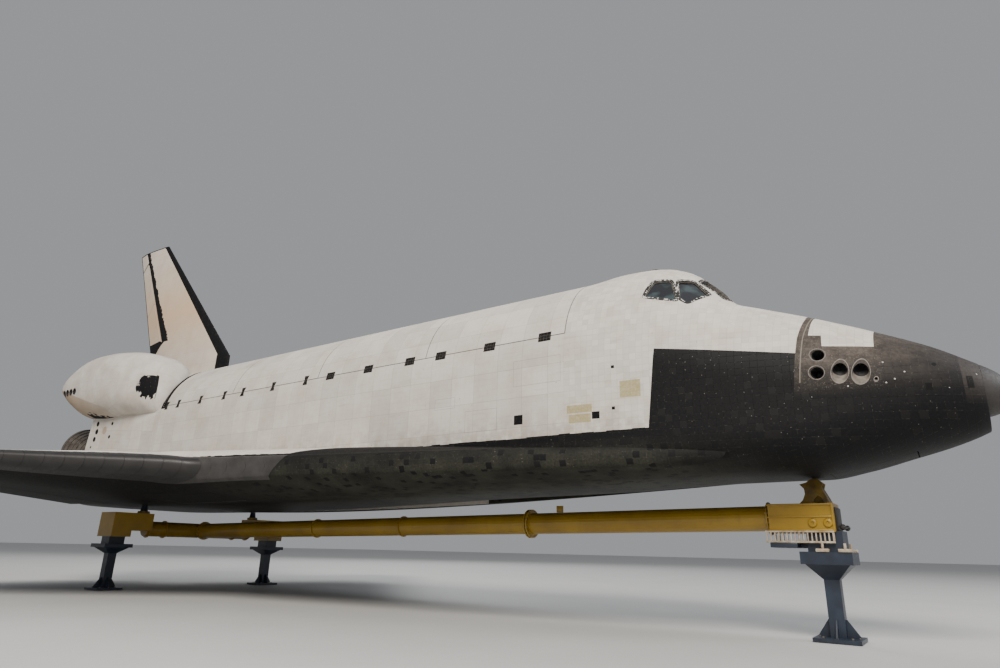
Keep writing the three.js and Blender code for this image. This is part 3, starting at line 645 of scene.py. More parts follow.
def thruster_holes(thrusters, surface, sides=(1, -1)):
    """For each small engine on each side: where it opens in the skin, and its aim."""
    holes = []
    for (station, butt, height), (ahead, across, up), radius in thrusters:
        for side in sides:
            way = Vector((ahead, -side * across, up)).normalized()
            start = place(station, -side * butt, height) + way * 30 * INCH
            holes.append((surface.hit(start, -way), way, radius))
    return holes


def thruster_pocket(mouth, way, radius):
    """A cutter for a nozzle: material 3 in its throat, painted near black as shade deep inside, and 2
    on its flared lining.
    """
    reach = radius + 8
    throat = ((0, -2.6), (0.3, -2.6), (0.55, -1.9), (0.88, -0.6))
    profile = [(radius * out, radius * up) for out, up in throat]
    profile += [(radius, reach * 0.2), (radius, reach), (0, reach)]
    return lathe("thruster_pocket", profile, mouth, way, 40, [3, 3, 3, 2, 2, 2])


def thruster_rims(name, surface, holes):
    """The thin rims of several nozzles as one object."""
    rims = []
    for mouth, way, radius in holes:
        side = way.orthogonal().normalized()
        other = way.cross(side)
        inner, outer = [], []
        for k in range(56):
            angle = 2 * math.pi * k / 56
            spoke = side * math.cos(angle) + other * math.sin(angle)
            for line, reach in ((inner, radius + 0.02), (outer, radius + 0.5)):
                line.append(surface.hit(mouth + spoke * reach * INCH + way * 24 * INCH, -way))
        rims.append(band("rim", surface, inner, outer, 0.12))
    return join(name, rims)


# Wings

def mix(a, b, share):
    return a + (b - a) * share


def elevon_hinge(butt):
    """Height and radius of the elevons' hinge."""
    share = (butt - HINGE_ROOT["butt"]) / (HINGE_TIP["butt"] - HINGE_ROOT["butt"])
    return [mix(HINGE_ROOT[key], HINGE_TIP[key], share) for key in ("height", "radius")]


def trail_station(butt):
    return TRAIL_ROOT_STATION - TRAIL_SWEEP * butt


def wing_curves(butt):
    """Upper and lower heights of the wing at a butt, as tables over its stations."""
    row = WING.at(butt)
    lead, nose, edge = row["lead"], row["nose_length"], row["edge"]
    trail, (middle, radius) = trail_station(butt), elevon_hinge(butt)
    crown = max(CROWN_STATION, mix(lead, trail, 0.4))
    end = middle - TRAIL_DROP * radius / HINGE_ROOT["radius"]
    curves = []
    for nose_height, crown_height, turn in (
        (row["nose_top"], row["crown_top"], 1), (row["nose_bottom"], row["bottom"], -1),
    ):
        rows = (
            (lead, edge),
            (lead + nose * 0.12, mix(edge, nose_height, 0.5)),
            (lead + nose * 0.45, mix(edge, nose_height, 0.85)),
            (lead + nose, nose_height),
            (crown, crown_height),
            (ELEVON_HINGE_STATION, middle + turn * radius),
            (trail, end + turn * TRAIL_HALF_THICKNESS),
        )
        curves.append(Table(("height",), rows, lambda station: np.sqrt(np.maximum(station - lead, 0))))
    return lead, trail, *curves


def round_section(stations, there, back):
    """Stations and values along one side of a section to its back, and along the other to its front."""
    return zip(np.concatenate((stations, stations[:0:-1])), np.concatenate((there, back[:0:-1])))


def wing_ring(butt, count, squeeze=1.0):
    lead, trail, upper, lower = wing_curves(butt)
    stations = lead + (trail - lead) * np.linspace(0, 1, count) ** 1.8
    top = np.array([upper.at(s)["height"] for s in stations])
    low = np.array([lower.at(s)["height"] for s in stations])
    middle = (top + low) / 2
    top, low = middle + (top - middle) * squeeze, middle + (low - middle) * squeeze
    return [place(s, butt, h) for s, h in round_section(stations, top, low)]


def wing_solid():
    """The whole wing with its moving surfaces still in it, white above and black below."""
    count = 44
    tip = WING_ROWS[-1][0]
    butts = [*between(WING_ROWS[0][0], 168, 4), *between(168, 200, 1)[1:], *between(200, tip - 5, 7)[1:]]
    rings = [wing_ring(butt, count) for butt in butts]
    for share in (0.35, 0.6, 0.8, 0.93, 1):
        rings.append(wing_ring(tip - 5 + 5 * share, count, max(0.12, math.sqrt(1 - share * share))))
    return loft("wing_solid", rings, None, [0] * (count - 1) + [1] * count, caps=(0, 1))


def gear_slab(name, front_gap=0.0, gap=0.0):
    """Block through the main gear's well. Its outer side stands in from the hinge and leans, by as
    much as the door needs to swing past the skin beside it."""
    rings = []
    for station in between(MAIN_WELL["front"] + front_gap, MAIN_WELL["back"] - gap, 10):
        ahead = MAIN_DOOR_HINGE["station"] - station
        hinge = MAIN_DOOR_HINGE["height"] + ahead * MAIN_DOOR_HINGE["slope"]
        skin = wing_curves(MAIN_WELL["outer"] - 3)[3].at(station)["height"]
        edge = MAIN_WELL["outer"] - gap - max(0, hinge - skin - 0.2)
        inner = MAIN_WELL["inner"] + gap
        low, high = [(edge + (skin - height) * 0.36, height) for height in (240, 300)]
        corners = ((inner, 240), low, high, (inner, 300))
        rings.append([place(station, butt, height) for butt, height in corners])
    return loft(name, rings)


def elevon_cove():
    """A cutter for the room that the elevons and their round noses turn in."""
    rings = []
    for butt in (80, HINGE_TIP["butt"] + 2):
        middle, radius = elevon_hinge(butt)
        clear = radius + 0.5
        upper, lower = -0.36 * radius, -0.24 * radius
        first, last = math.acos(upper / clear), 2 * math.pi - math.acos(lower / clear)
        line = [(upper, 60)]
        line += [(clear * math.cos(a), clear * math.sin(a)) for a in np.linspace(first, last, 24)]
        line += [(lower, -60), (170, -60), (170, 60)]
        rings.append([place(ELEVON_HINGE_STATION + s, butt, middle + h) for s, h in line])
    return loft("elevon_cove", rings, zones=[2] * len(rings[0]), caps=(2, 2))


def edge_panels():
    """The carbon panels round the leading edge, one after the other with a joint between them."""
    panels = []
    for k, (inner, tip) in enumerate(zip(EDGE_PANEL_BUTTS, EDGE_PANEL_BUTTS[1:])):
        kind = int(inner >= GLOVE_BUTT)
        joint = (0.05, 0.14)[kind]
        rings = []
        for butt in np.linspace(inner + joint, tip - joint, 5):
            lead, _, upper, lower = wing_curves(butt)
            nose = WING.at(butt)["nose_length"]
            shares = np.linspace(0, 1, 14) ** 1.8
            top = [(lead + nose * 0.98 * s, upper.at(lead + nose * 0.98 * s)["height"]) for s in shares]
            low = [(lead + nose * 1.5 * s, lower.at(lead + nose * 1.5 * s)["height"]) for s in shares]
            outer = top[::-1] + low[1:]
            middle = (outer[0][1] + outer[-1][1]) / 2
            deep = lead + nose * 0.9
            grown, shrunk = [], []
            for n, (s, h) in enumerate(outer):
                before, after = outer[max(n - 1, 0)], outer[min(n + 1, len(outer) - 1)]
                ds, dh = after[0] - before[0], after[1] - before[1]
                size = math.hypot(ds, dh) or 1
                out = Vector((dh / size, -ds / size))
                if out.dot(Vector((s - deep, h - middle))) < 0:
                    out = -out
                grown.append((s + out.x * 0.4, h + out.y * 0.4))
                shrunk.append((s - out.x * 0.8, h - out.y * 0.8))
            ring = grown + shrunk[::-1]
            rings.append([place(max(s, lead - 0.3), butt, h) for s, h in ring])
        panels.append(loft(f"edge_panel_{k}", rings, None, [kind] * len(rings[0]), (kind, kind)))
    made = join("edge_panels", panels)
    corners = [(860, 270), (860, 340)]
    for height in (340, 270):
        rise = (height - EDGE_PANEL_FRONT["height"]) * EDGE_PANEL_FRONT["slope"]
        corners.append((EDGE_PANEL_FRONT["station"] + rise, height))
    carve(made, [loft("ahead", [[place(s, butt, h) for s, h in corners] for butt in (150, 200)])])
    return made


# Fin

def fin_station(edge, height):
    first = FIN["knee"] if edge == "lead" else FIN["root"]
    share = (height - first["height"]) / (FIN["tip"]["height"] - first["height"])
    return mix(first[edge], FIN["tip"][edge], max(share, 0))


def fin_half(height):
    share = (height - FIN["root"]["height"]) / (FIN["tip"]["height"] - FIN["root"]["height"])
    return mix(FIN["root_half"], FIN["tip_half"], share)


RUDDER_LEAN = math.atan2(
    FIN["tip"]["hinge"] - FIN["root"]["hinge"], FIN["tip"]["height"] - FIN["root"]["height"],
)


def beside_hinge(height, across, butt):
    """A point square to the rudder's hinge line, some inches across it."""
    station = fin_station("hinge", height) + across * math.cos(RUDDER_LEAN)
    return place(station, butt, height - across * math.sin(RUDDER_LEAN))


def fin_solid(name):
    rings = []
    count = 28
    heights = list(between(FIN["root"]["height"], FIN["knee"]["height"], 7))
    heights += list(between(FIN["knee"]["height"], FIN["tip"]["height"], 9))[1:]
    for height in heights:
        half = fin_half(height)
        lead, hinge, trail = (fin_station(edge, height) for edge in ("lead", "hinge", "trail"))
        nose = min(26, (hinge - lead) * 0.25)
        front = ((lead, 0), (lead + nose * 0.2, half * 0.28), (lead + nose, half * 0.55))
        curve = Table(
            ("butt",), (*front, (hinge, half), (trail, 1)),
            lambda station: np.sqrt(np.maximum(station - lead, 0)),
        )
        stations = lead + (trail - lead) * np.linspace(0, 1, count) ** 1.8
        butts = np.array([curve.at(s)["butt"] for s in stations])
        rings.append([place(s, b, height) for s, b in round_section(stations, butts, -butts)])
    return loft(name, rings)


# Engines

def bell_radius(bell, distance):
    share = (distance - bell["throat"]) / (bell["length"] - bell["throat"])
    growth = 1.35 * share - 0.35 * share * share
    return bell["throat_radius"] + (bell["exit_radius"] - bell["throat_radius"]) * growth


def engine_line(engine, side=1):
    """Where an engine's gimbal is, and the way that its bell points."""
    spot = place(engine["station"], side * engine["butt"], engine["height"])
    return spot, aim(engine["up"], side * engine["out"])


def bell_solid(name, bell, line, sides=96, steps=26):
    """A hollow bell: material 0 outside, 1 inside, 2 its round lip."""
    wall, lip = bell["wall"], 0.5
    outer, inner = [], []
    for distance in np.linspace(bell["start"], bell["length"] - lip, steps):
        outer.append((bell_radius(bell, distance), distance))
        inner.append((bell_radius(bell, distance) - wall, distance))
    end = bell_radius(bell, bell["length"])
    rim = [(end - lip * 0.2, bell["length"]), (end - wall + lip * 0.2, bell["length"])]
    inner = [spot for spot in inner if spot[1] > bell["start"] + 3]
    floor = (inner[0][0], bell["start"] + 3)
    profile = [(0, bell["start"])] + outer + rim + inner[::-1] + [floor, (0, floor[1])]
    zones = [0] * len(outer) + [2] * 3 + [1] * (len(profile) - 1 - len(outer) - 3)
    return lathe(name, profile, *line, sides, zones)


# Pods

def pod_solid(name, side):
    rings, spots = [], []
    front, back = POD_START[0], POD_ROWS[-1][0]
    table = Table(
        POD_COLUMNS, (POD_START, *POD_ROWS), lambda station: np.sqrt(np.maximum(station - front + 0.1, 0)),
    )
    angle = np.linspace(0, 2 * math.pi, 72, endpoint=False)
    power = lambda value: np.sign(value) * np.abs(value) ** (2 / POD_POWER)
    for station in front + (back - front) * np.linspace(0, 1, 56) ** 1.35:
        row = table.at(station)
        butts = row["butt"] + row["half_width"] * power(np.cos(angle))
        heights = row["height"] + row["half_height"] * power(np.sin(angle))
        line = np.stack((butts, heights), 1)
        run = np.concatenate(([0], np.cumsum(np.linalg.norm(np.diff(line, axis=0), axis=1))))
        rings.append([place(station, side * b, h) for b, h in line])
        spots.append([(station * INCH, r * INCH) for r in run])
    return loft(name, rings, spots)


# Finishes

class Wire:
    """A socket of a node tree that takes arithmetic."""

    def __init__(self, owner, socket):
        self.owner, self.socket = owner, socket

    def math(self, operation, *others):
        return self.owner.node("ShaderNodeMath", {"operation": operation}, (self, *others))

    def __rsub__(self, other):
        return self.owner.node("ShaderNodeMath", {"operation": "SUBTRACT"}, (other, self))

    __add__ = __radd__ = functools.partialmethod(math, "ADD")
    __mul__ = __rmul__ = functools.partialmethod(math, "MULTIPLY")
    __sub__ = functools.partialmethod(math, "SUBTRACT")
    __truediv__ = functools.partialmethod(math, "DIVIDE")
    __mod__ = functools.partialmethod(math, "FLOORED_MODULO")
    __lt__ = functools.partialmethod(math, "LESS_THAN")
    __gt__ = functools.partialmethod(math, "GREATER_THAN")
    __or__ = functools.partialmethod(math, "MAXIMUM")
    __abs__ = functools.partialmethod(math, "ABSOLUTE")
    floor = functools.partialmethod(math, "FLOOR")

    def rise(self, low, high, bottom=0.0, top=1.0):
        """Goes from bottom to top as the value goes from low to high."""
        return self.owner.node(
            "ShaderNodeMapRange", {"interpolation_type": "LINEAR"}, (self, low, high, bottom, top),
        )

    def inside(self, low, high):
        return (self > low) * (self < high)

    def near(self, places):
        """How far the value is from the nearest of some fixed places."""
        gap = abs(self - places[0])
        for spot in places[1:]:
            gap = gap.math("MINIMUM", abs(self - spot))
        return gap


class Tree:
    """A node tree that is written as expressions."""

    def __init__(self, tree):
        self.tree = tree

    def node(self, kind, settings=None, values=(), output=0):
        """A node of a kind, its settings made first, then its sockets linked or set by their order
        or name."""
        made = self.tree.nodes.new(kind)
        for key, value in (settings or {}).items():
            setattr(made, key, value)
        pairs = values.items() if isinstance(values, dict) else enumerate(values)
        for key, value in pairs:
            if isinstance(value, Wire):
                self.tree.links.new(value.socket, made.inputs[key])
            elif value is not None:
                made.inputs[key].default_value = value
        return Wire(self, made.outputs[output])

    def vector(self, a, b, c=0.0):
        return self.node("ShaderNodeCombineXYZ", None, (a, b, c))


class Grove(Tree):
    """A Geometry Nodes tree with named inputs that is run and turned into plain meshes."""

    def __init__(self, name, **inputs):
        super().__init__(bpy.data.node_groups.new(name, "GeometryNodeTree"))
        kinds = {int: "NodeSocketInt", float: "NodeSocketFloat"}
        for label, value in inputs.items():
            made = self.tree.interface.new_socket(label, in_out="INPUT", socket_type=kinds[type(value)])
            made.default_value = value
        self.tree.interface.new_socket("Geometry", in_out="OUTPUT", socket_type="NodeSocketGeometry")
        entry = self.tree.nodes.new("NodeGroupInput")
        self.given = {label: Wire(self, entry.outputs[label]) for label in inputs}

    def line(self, count, step, start=(0, 0, 0)):
        """Points one step after another."""
        values = {"Count": count, "Start Location": start, "Offset": step}
        return self.node("GeometryNodeMeshLine", {"mode": "OFFSET"}, values)

    def flat_bar(self, path, width, height):
        """A path turned into a bar with a rectangular section."""
        values = {"Width": width, "Height": height}
        edge = self.node("GeometryNodeCurvePrimitiveQuadrilateral", {"mode": "RECTANGLE"}, values)
        values = {"Curve": path, "Profile Curve": edge, "Fill Caps": True}
        return self.node("GeometryNodeCurveToMesh", None, values)

    def close(self, points, shape, material, scale=(1, 1, 1)):
        """Puts the shape on every point, realises it and sets its material."""
        values = {"Points": points, "Instance": shape, "Scale": scale}
        placed = self.node("GeometryNodeInstanceOnPoints", None, values)
        real = self.node("GeometryNodeRealizeInstances", None, (placed,))
        values = {"Geometry": real, "Material": finish(material)}
        done = self.node("GeometryNodeSetMaterial", None, values)
        end = self.tree.nodes.new("NodeGroupOutput")
        self.tree.links.new(done.socket, end.inputs[0])
        return self

    def run(self, name, spot=None, **inputs):
        """Makes one plain mesh object, moved to its place by a matrix."""
        made = shown(bpy.data.objects.new(name, bpy.data.meshes.new(name)))
        modifier = made.modifiers.new(name, "NODES")
        modifier.node_group = self.tree
        for item in self.tree.interface.items_tree:
            if item.in_out == "INPUT" and item.name in inputs:
                modifier[item.identifier] = inputs[item.name]
        settle(made)
        if spot is not None:
            made.data.transform(spot)
        if not made.data.polygons:
            raise RuntimeError(f"{name} came out empty")
        return made


def hat_bands():
    """Rings round a bell, their radius following its curve."""
    tree = Grove(
        "hat bands", Rings=9, Start=1.0, End=3.6, Throat=0.9, Length=4.0, Inner=0.13, Outer=1.15,
        Width=0.05,
    )
    rings, start, end, throat, length, inner, outer, width = tree.given.values()
    step = (end - start) / (rings - 1)
    share = (tree.node("GeometryNodeInputIndex") * step + start - throat) / (length - throat)
    radius = (share * 1.35 - share * share * 0.35) * (outer - inner) + inner
    values = {"Resolution": 72, "Radius": 1.0}
    circle = tree.node("GeometryNodeCurvePrimitiveCircle", {"mode": "RADIUS"}, values)
    line = tree.line(rings, tree.vector(0, 0, step), tree.vector(0, 0, start))
    return tree.close(
        line, tree.flat_bar(circle, 0.045, width), "bell band", tree.vector(radius, radius, 1),
    )


def bolt_circle():
    """Hexagonal bolt heads in a circle on a flange."""
    tree = Grove("bolt circle", Count=16, Radius=0.3, Size=0.02, Height=0.015)
    count, radius, size, height = tree.given.values()
    circle = tree.node("GeometryNodeMeshCircle", None, {"Vertices": count, "Radius": radius})
    values = {"Vertices": 6, "Radius": size, "Depth": height}
    return tree.close(circle, tree.node("GeometryNodeMeshCylinder", None, values), "bare steel")


def slat_row():
    """A row of upright slats."""
    tree = Grove("slat row", Count=10, Spacing=0.1, Width=0.03, Depth=0.02, Height=0.25)
    count, spacing, width, depth, height = tree.given.values()
    slat = tree.node("GeometryNodeMeshCube", None, {"Size": tree.vector(width, depth, height)})
    return tree.close(tree.line(count, tree.vector(spacing, 0)), slat, "slat paint")


def bay_frames():
    """Round frames that stiffen the trough of the payload bay."""
    tree = Grove(
        "bay frames", Count=13, Spacing=1.4, Radius=2.3, Start=3.0, Sweep=3.4, Width=0.08, Depth=0.05,
    )
    count, spacing, radius, start, sweep, width, depth = tree.given.values()
    values = {"Resolution": 48, "Radius": radius, "Start Angle": start, "Sweep Angle": sweep}
    arc = tree.node("GeometryNodeCurveArc", {"mode": "RADIUS"}, values)
    line = tree.line(count, tree.vector(0, 0, spacing))
    return tree.close(line, tree.flat_bar(arc, depth, width), "bay frame")


def standing(origin, direction):
    """Matrix that stands a piece made along +Z on a point, along a direction."""
    turn = Vector((0, 0, 1)).rotation_difference(Vector(direction).normalized()).to_matrix().to_4x4()
    return Matrix.Translation(origin) @ turn


class Paint(Tree):
    """One finish: a material and the nodes that drive its surface shader."""

    def __init__(self, name, **uniform):
        self.material = bpy.data.materials.new(name)
        self.material.use_nodes = True
        super().__init__(self.material.node_tree)
        self.shader = self.tree.nodes["Principled BSDF"]
        for socket, value in uniform.items():
            self.shader.inputs[socket.replace("_", " ")].default_value = value

    def split(self, vector):
        return [self.node("ShaderNodeSeparateXYZ", None, (vector,), k) for k in range(3)]

    def spot(self):
        """Object coordinates in metres."""
        return self.node("ShaderNodeTexCoord", None, (), "Object")

    def drawing(self):
        """Station, butt and height in inches."""
        a, b, c = self.split(self.spot())
        return a * (-1 / INCH) + MID_STATION, b * (1 / INCH), c * (1 / INCH) + FLOOR_HEIGHT

    def skin(self):
        """Metres along and around the piece, from its own map."""
        a, b, _ = self.split(self.node("ShaderNodeUVMap", {"uv_map": "skin"}))
        return a, b

    def noise(self, vector, scale, detail=3.0, roughness=0.55, stretch=None):
        if stretch:
            vector = self.node("ShaderNodeVectorMath", {"operation": "MULTIPLY"}, (vector, stretch))
        values = {"Vector": vector, "Scale": scale, "Detail": detail, "Roughness": roughness}
        return self.node("ShaderNodeTexNoise", None, values)

    def chance(self, a, b, seed=0.0):
        """A fixed random number for each whole pair of values."""
        return self.node("ShaderNodeTexWhiteNoise", {"noise_dimensions": "3D"}, (self.vector(a, b, seed),))

    def blend(self, tone, *coats):
        """Lays colours over a tone, each given with its share from 0 to 1."""
        as_colour = lambda c: c if isinstance(c, Wire) else (*c, 1.0)
        for colour, share in coats:
            values = {0: share, 6: as_colour(tone), 7: as_colour(colour)}
            tone = self.node("ShaderNodeMix", {"data_type": "RGBA"}, values, 2)
        return tone

    def tiles(self, a, b, width, gap=0.006, seed=0.0):
        """Joints between square tiles as 1 in the joint, and a fixed random number for each tile."""
        a, b = a / width, b / width
        column, row = a.floor(), b.floor()
        x, y = abs(a - column - 0.5) * width, abs(b - row - 0.5) * width
        joint = (x | y).rise(width / 2 - gap, width / 2 - gap * 0.4)
        return joint, self.chance(column, row, seed)

    def cells(self, vector, scale):
        """Distance to the nearest of many scattered points, and that point's random number."""
        values = {"Vector": vector, "Scale": scale}
        gap = self.node("ShaderNodeTexVoronoi", {"feature": "F1"}, values, "Distance")
        return gap, self.split(Wire(self, gap.socket.node.outputs["Color"]))[0]

    def spots(self, vector, scale, share, size):
        """1 in small round spots, one in a share of the cells."""
        gap, luck = self.cells(vector, scale)
        return (gap < size) * (luck < share)

    def bump(self, height, distance=0.004, strength=0.5):
        values = {"Height": height, "Distance": distance, "Strength": strength}
        return self.node("ShaderNodeBump", None, values)

    def facing(self, butt, height):
        """Inches across the tiles: the butt where the skin lies flat, the height where it stands."""
        up = abs(self.split(self.node("ShaderNodeTexCoord", None, (), "Normal"))[2])
        return height + (butt - height) * (up > 0.62)

    def surface(self, colour, roughness, normal=None):
        """Links what varies to the shader, and gives back the material."""
        for socket, wire in (("Base Color", colour), ("Roughness", roughness), ("Normal", normal)):
            if isinstance(wire, Wire):
                self.tree.links.new(wire.socket, self.shader.inputs[socket])
            elif wire is not None:
                self.shader.inputs[socket].default_value = wire
        return self.material


def boxes(across, up, rows, grow=0.0):
    """1 inside any of the rectangles, given as low and high ends across, then up."""
    masks = [across.inside(a - grow, b + grow) * up.inside(c - grow, d + grow) for a, b, c, d in rows]
    return functools.reduce(operator.or_, masks)


def rounds(across, up, rows):
    """1 inside any of the circles, given as middle across, middle up and radius."""
    masks = []
    for middle, height, radius in rows:
        x, y = across - middle, up - height
        masks.append((x * x + y * y) < radius * radius)
    return functools.reduce(operator.or_, masks)


def white_tone(paint, c, spot, fine, joint):
    """Aged white: cream clouds, long stains, and joints where joint is above 0."""
    mottle, streak = paint.noise(spot, 1.3, 5, 0.62), paint.noise(spot, 2.6, 4, 0.6, (0.5, 1, 3.4))
    return paint.blend(
        c["white"],
        (c["cream"], mottle.rise(0.35, 0.7) * 0.8),
        (c["soot"], (streak.rise(0.56, 0.86) * 0.3) | (fine.rise(0.62, 0.8) * 0.25)),
        (c["soot"], paint.spots(spot, 5.0, 0.2, 0.07) * 0.8),
        (c["joint"], joint),
    )


def black_tone(paint, c, spot, fine, joint, luck):
    """Black tiles: some worn lighter, pale fillers and painted edge glints in part of their joints, pale
    chips, and a painted olive reflection of floor light on the belly with single tiles left dark."""
    broad = paint.noise(spot, 1.1, 3)
    ahead, _, up = paint.split(spot)
    along = ahead.rise(-3, 3) * ahead.rise(11.5, 14.5, 1.0, 0.0)
    # Painted reflection: an olive tone on the lower belly stands for floor light thrown up onto it.
    floor_reflection = up.rise(4.2, 3.5) * along * broad.rise(0.35, 0.6, 0.35, 1.0)
    # Pale joints in part: grey filler, and painted glints where light catches the tile edges.
    pale = paint.noise(spot, 17, 3, 0.7).rise(0.54, 0.7) * 0.36
    return paint.blend(
        c["black"],
        (c["worn_black"], (fine.rise(0.45, 0.75) * 0.3) | (luck.rise(0.86, 1.0) * 0.4)),
        (c["olive_bloom"], floor_reflection * (luck < 0.88) * fine.rise(0.3, 0.6, 0.4, 1.0)),
        (c["pale_joint"], joint * pale),
        (c["pale_joint"], paint.spots(spot, 11.0, 0.4, 0.1) * broad.rise(0.46, 0.56) * 0.8),
    )


def body_finish(name, c, blanket=True):
    """The body's white blankets and tiles over its black tiles, with their marks and stains, and a dirty
    grey with painted sheen on the upper nose.
    """
    paint = Paint(name, Specular_IOR_Level=0.13)
    station, butt, height = paint.drawing()
    along, around = paint.skin() if blanket else (station * INCH, paint.facing(butt, height) * INCH)
    spot = paint.spot()
    starboard, outside = butt < 0, abs(butt) > 105
    joint, luck = paint.tiles(along, around, TILE, 0.005)
    sheet, sheet_luck = paint.tiles(along, around, TILE * 5, seed=4.0)
    fine = paint.noise(spot, 22, 4, 0.6)
    dark, nose = black_zone(paint, station, height)

    outline = boxes(station, height, SEEN_OUTLINES, 0.4) * (1.0 - boxes(station, height, SEEN_OUTLINES))
    from_sill = abs(height - SILL_HEIGHT)
    doors = (from_sill < 0.5) * station.inside(BAY_FRONT, BAY_BACK)
    seams = (station.near(DOOR_SEAMS) < 0.6) * (height > SILL_HEIGHT) | doors
    white = white_tone(paint, c, spot, fine, ((sheet * 0.5) | (joint * 0.14)) if blanket else joint * 0.2)
    white = paint.blend(
        (0, 0, 0),
        (white, (sheet_luck if blanket else luck).rise(0, 1, 0.86, 1.0)),
        (c["soot"], height.rise(318, 350, 0.5, 0.0) * paint.noise(spot, 3.5, 4).rise(0.4, 0.6)),
        (c["plate"], boxes(station, height, BLANK_PLATES) * starboard * fine.rise(0.3, 0.7, 0.5, 0.9)),
        (c["joint"], outline * starboard * 0.6),
        (c["black"], seams * 0.5),
        (c["tan"], rounds(station, height, TAN_PORTS) * outside * 0.7),
    )

    wide = (station.near(WIDE_HINGES) < 7.3) * (from_sill < 5)
    hinges = wide | ((station.near(NARROW_HINGES) < (from_sill * 0.3 + 2.6)) * (from_sill < 6.5))
    grid = ((station % 3.65) < 0.3) | ((height % 3.4) < 0.3)
    marks = (boxes(station, height, SMALL_BLACKS) * starboard) | hinges
    marks = marks | (rounds(station, height, SERVICE_PORTS) * outside)
    marks = marks | (station.inside(1299, 1311) * (height > SILL_HEIGHT - 4))

    cloud = paint.noise(spot, 2.4, 5, 0.6, (0.6, 1, 1.6))
    # Dusty grey with painted sheen: lighter towards the top of the nose, where overhead light falls, and
    # weaker towards its tip.
    dust = height.rise(338, 376) * station.rise(266, 340, 0.3, 1.0) * cloud.rise(0.3, 0.65, 0.35, 1.0)
    dust = dust | ((station < 268) * height.rise(328, 350, 0.0, 0.35))
    flecks = paint.noise(spot, 26, 5, 0.75).rise(0.58, 0.64) * station.inside(318, 384) * (height > 343)
    rim = (abs(seam_station(height) - 4.2 - station) < 0.45) * (height > 350)
    chips = paint.spots(spot, 6.0, 0.4, 0.1) * height.inside(333, 366) * (station < 372)
    panel = boxes(station, height, NOSE_PANELS) | ((abs(height - 335.2) < 0.35) * station.inside(281, 330))
    panel = panel | rounds(station, height, NOSE_PORTS)
    black = paint.blend(
        black_tone(paint, c, spot, fine, joint, luck),
        (c["pale_joint"], grid * hinges * 0.4),
        (c["dust"], nose * dust * paint.noise(spot, 13, 5, 0.7).rise(0.36, 0.58, 0.6, 1.0)),
        (c["pale_joint"], nose * flecks * 0.5),
        (c["pale_joint"], nose * rim * 0.8),
        (c["white"], nose * chips * 0.7),
        ((0.004, 0.004, 0.004), nose * panel * 0.85),
    )

    colour = paint.blend(white, (black, dark | marks))
    roughness = (dark * -0.28 + 0.8) + fine * 0.1
    quilt = paint.noise(spot, 60, 2) * 0.3 - sheet * 0.8 if blanket else joint * -1.0
    return paint.surface(colour, roughness, paint.bump(quilt - joint * dark - seams))


def seam_station(height):
    """Station of the seam between the cabin and the forward thrusters' housing."""
    return height.rise(336, 392, 383.5, 377.5) + height.rise(392, 415.3, 0.0, -4.3)


def black_zone(paint, station, height):
    """1 where the body wears black tiles, and 1 on the nose ahead of the cabin."""
    step = paint.chance((station / 12).floor(), 3.0) * 1.6
    low = height < (step + BELLY_EDGE_HEIGHT)
    panel, patch = CABIN_PANEL, NOSE_PATCH
    side = height < ((station - panel["station"]) * panel["slope"] + panel["top"])
    side = side * (station < (height * panel["back_slope"] + panel["back"]))
    foot = (station - patch["foot_station"]) * patch["slope"] + patch["foot"]
    foot = station.rise(359.6, 360, 0, 11.4) + foot
    back = (height - patch["back_height"]) * patch["back_slope"] + patch["back"]
    white = (station > patch["front"]) * (height > foot) * (station < back)
    nose = (station < seam_station(height)) * (1.0 - white)
    return low | side | nose, nose


def plain_finish(name, colour, second, rough, scale, relief=0.0006, metallic=0.0, stretch=None):
    """Painted or bare material with soft changes of tone, fine grain and small dents."""
    paint = Paint(name, Metallic=metallic)
    spot = paint.spot()
    broad, fine = paint.noise(spot, scale, 4, stretch=stretch), paint.noise(spot, scale * 14, 3)
    tone = paint.blend(colour, (second, broad.rise(0.35, 0.7)), (second, fine.rise(0.6, 0.8) * 0.5))
    return paint.surface(tone, fine.rise(0.3, 0.7, *rough), paint.bump(fine * 0.6 + broad, relief, 0.6))


def tiled_finish(name, c, patches, cell=0.61):
    """White blankets with black tiles where patches says, from the station, the butt, the height
    and a random number for each tile. Without patches everything is black."""
    paint = Paint(name, Specular_IOR_Level=0.13)
    station, butt, height = paint.drawing()
    along, across = paint.skin() if patches is pod_patches else (
        station * INCH, paint.facing(butt, height) * INCH,
    )
    spot = paint.spot()
    fine = paint.noise(spot, 24, 4, 0.6)
    sheet, _ = paint.tiles(along, across, cell)
    joint, luck = paint.tiles(along, across, TILE)
    tone = black_tone(paint, c, spot, fine, joint, luck)
    if patches:
        white = white_tone(paint, c, spot, fine, sheet * 0.4)
        dark, white = patches(paint, c, station, butt, height, luck, white)
        tone = paint.blend(white, (tone, dark))
    relief = fine * 0.3 - (sheet if patches else joint)
    return paint.surface(tone, fine.rise(0.3, 0.7, 0.6, 0.8), paint.bump(relief))


def wing_patches(paint, c, station, butt, height, luck, white):
    """Black behind the leading edge, all of the glove's front."""
    out = abs(butt)
    lead = ((out - 125) * 6.01 + 625).math("MINIMUM", out + 836)
    return station < (lead + station.rise(800, 905, 420, 52) + luck * 8), white


def elevon_patches(paint, c, station, butt, height, luck, white):
    """Black below the middle plane of an elevon."""
    out = abs(butt)
    middle, radius = elevon_hinge(out)
    share = (station - ELEVON_HINGE_STATION) / (trail_station(out) - ELEVON_HINGE_STATION)
    drop = share * radius * (TRAIL_DROP / HINGE_ROOT["radius"])
    return height < (middle - drop + 0.2), white


def flap_patches(paint, c, station, butt, height, luck, white):
    """Black below the body flap's middle plane and round its edges."""
    edge = (abs(butt) > FLAP_HALF_WIDTH - 8) | (station > FLAP_HINGE["station"] + FLAP_CHORD - 8)
    middle = (station - FLAP_HINGE["station"]) * -0.034 + FLAP_HINGE["height"] + 0.4
    return (height < middle) | edge, white


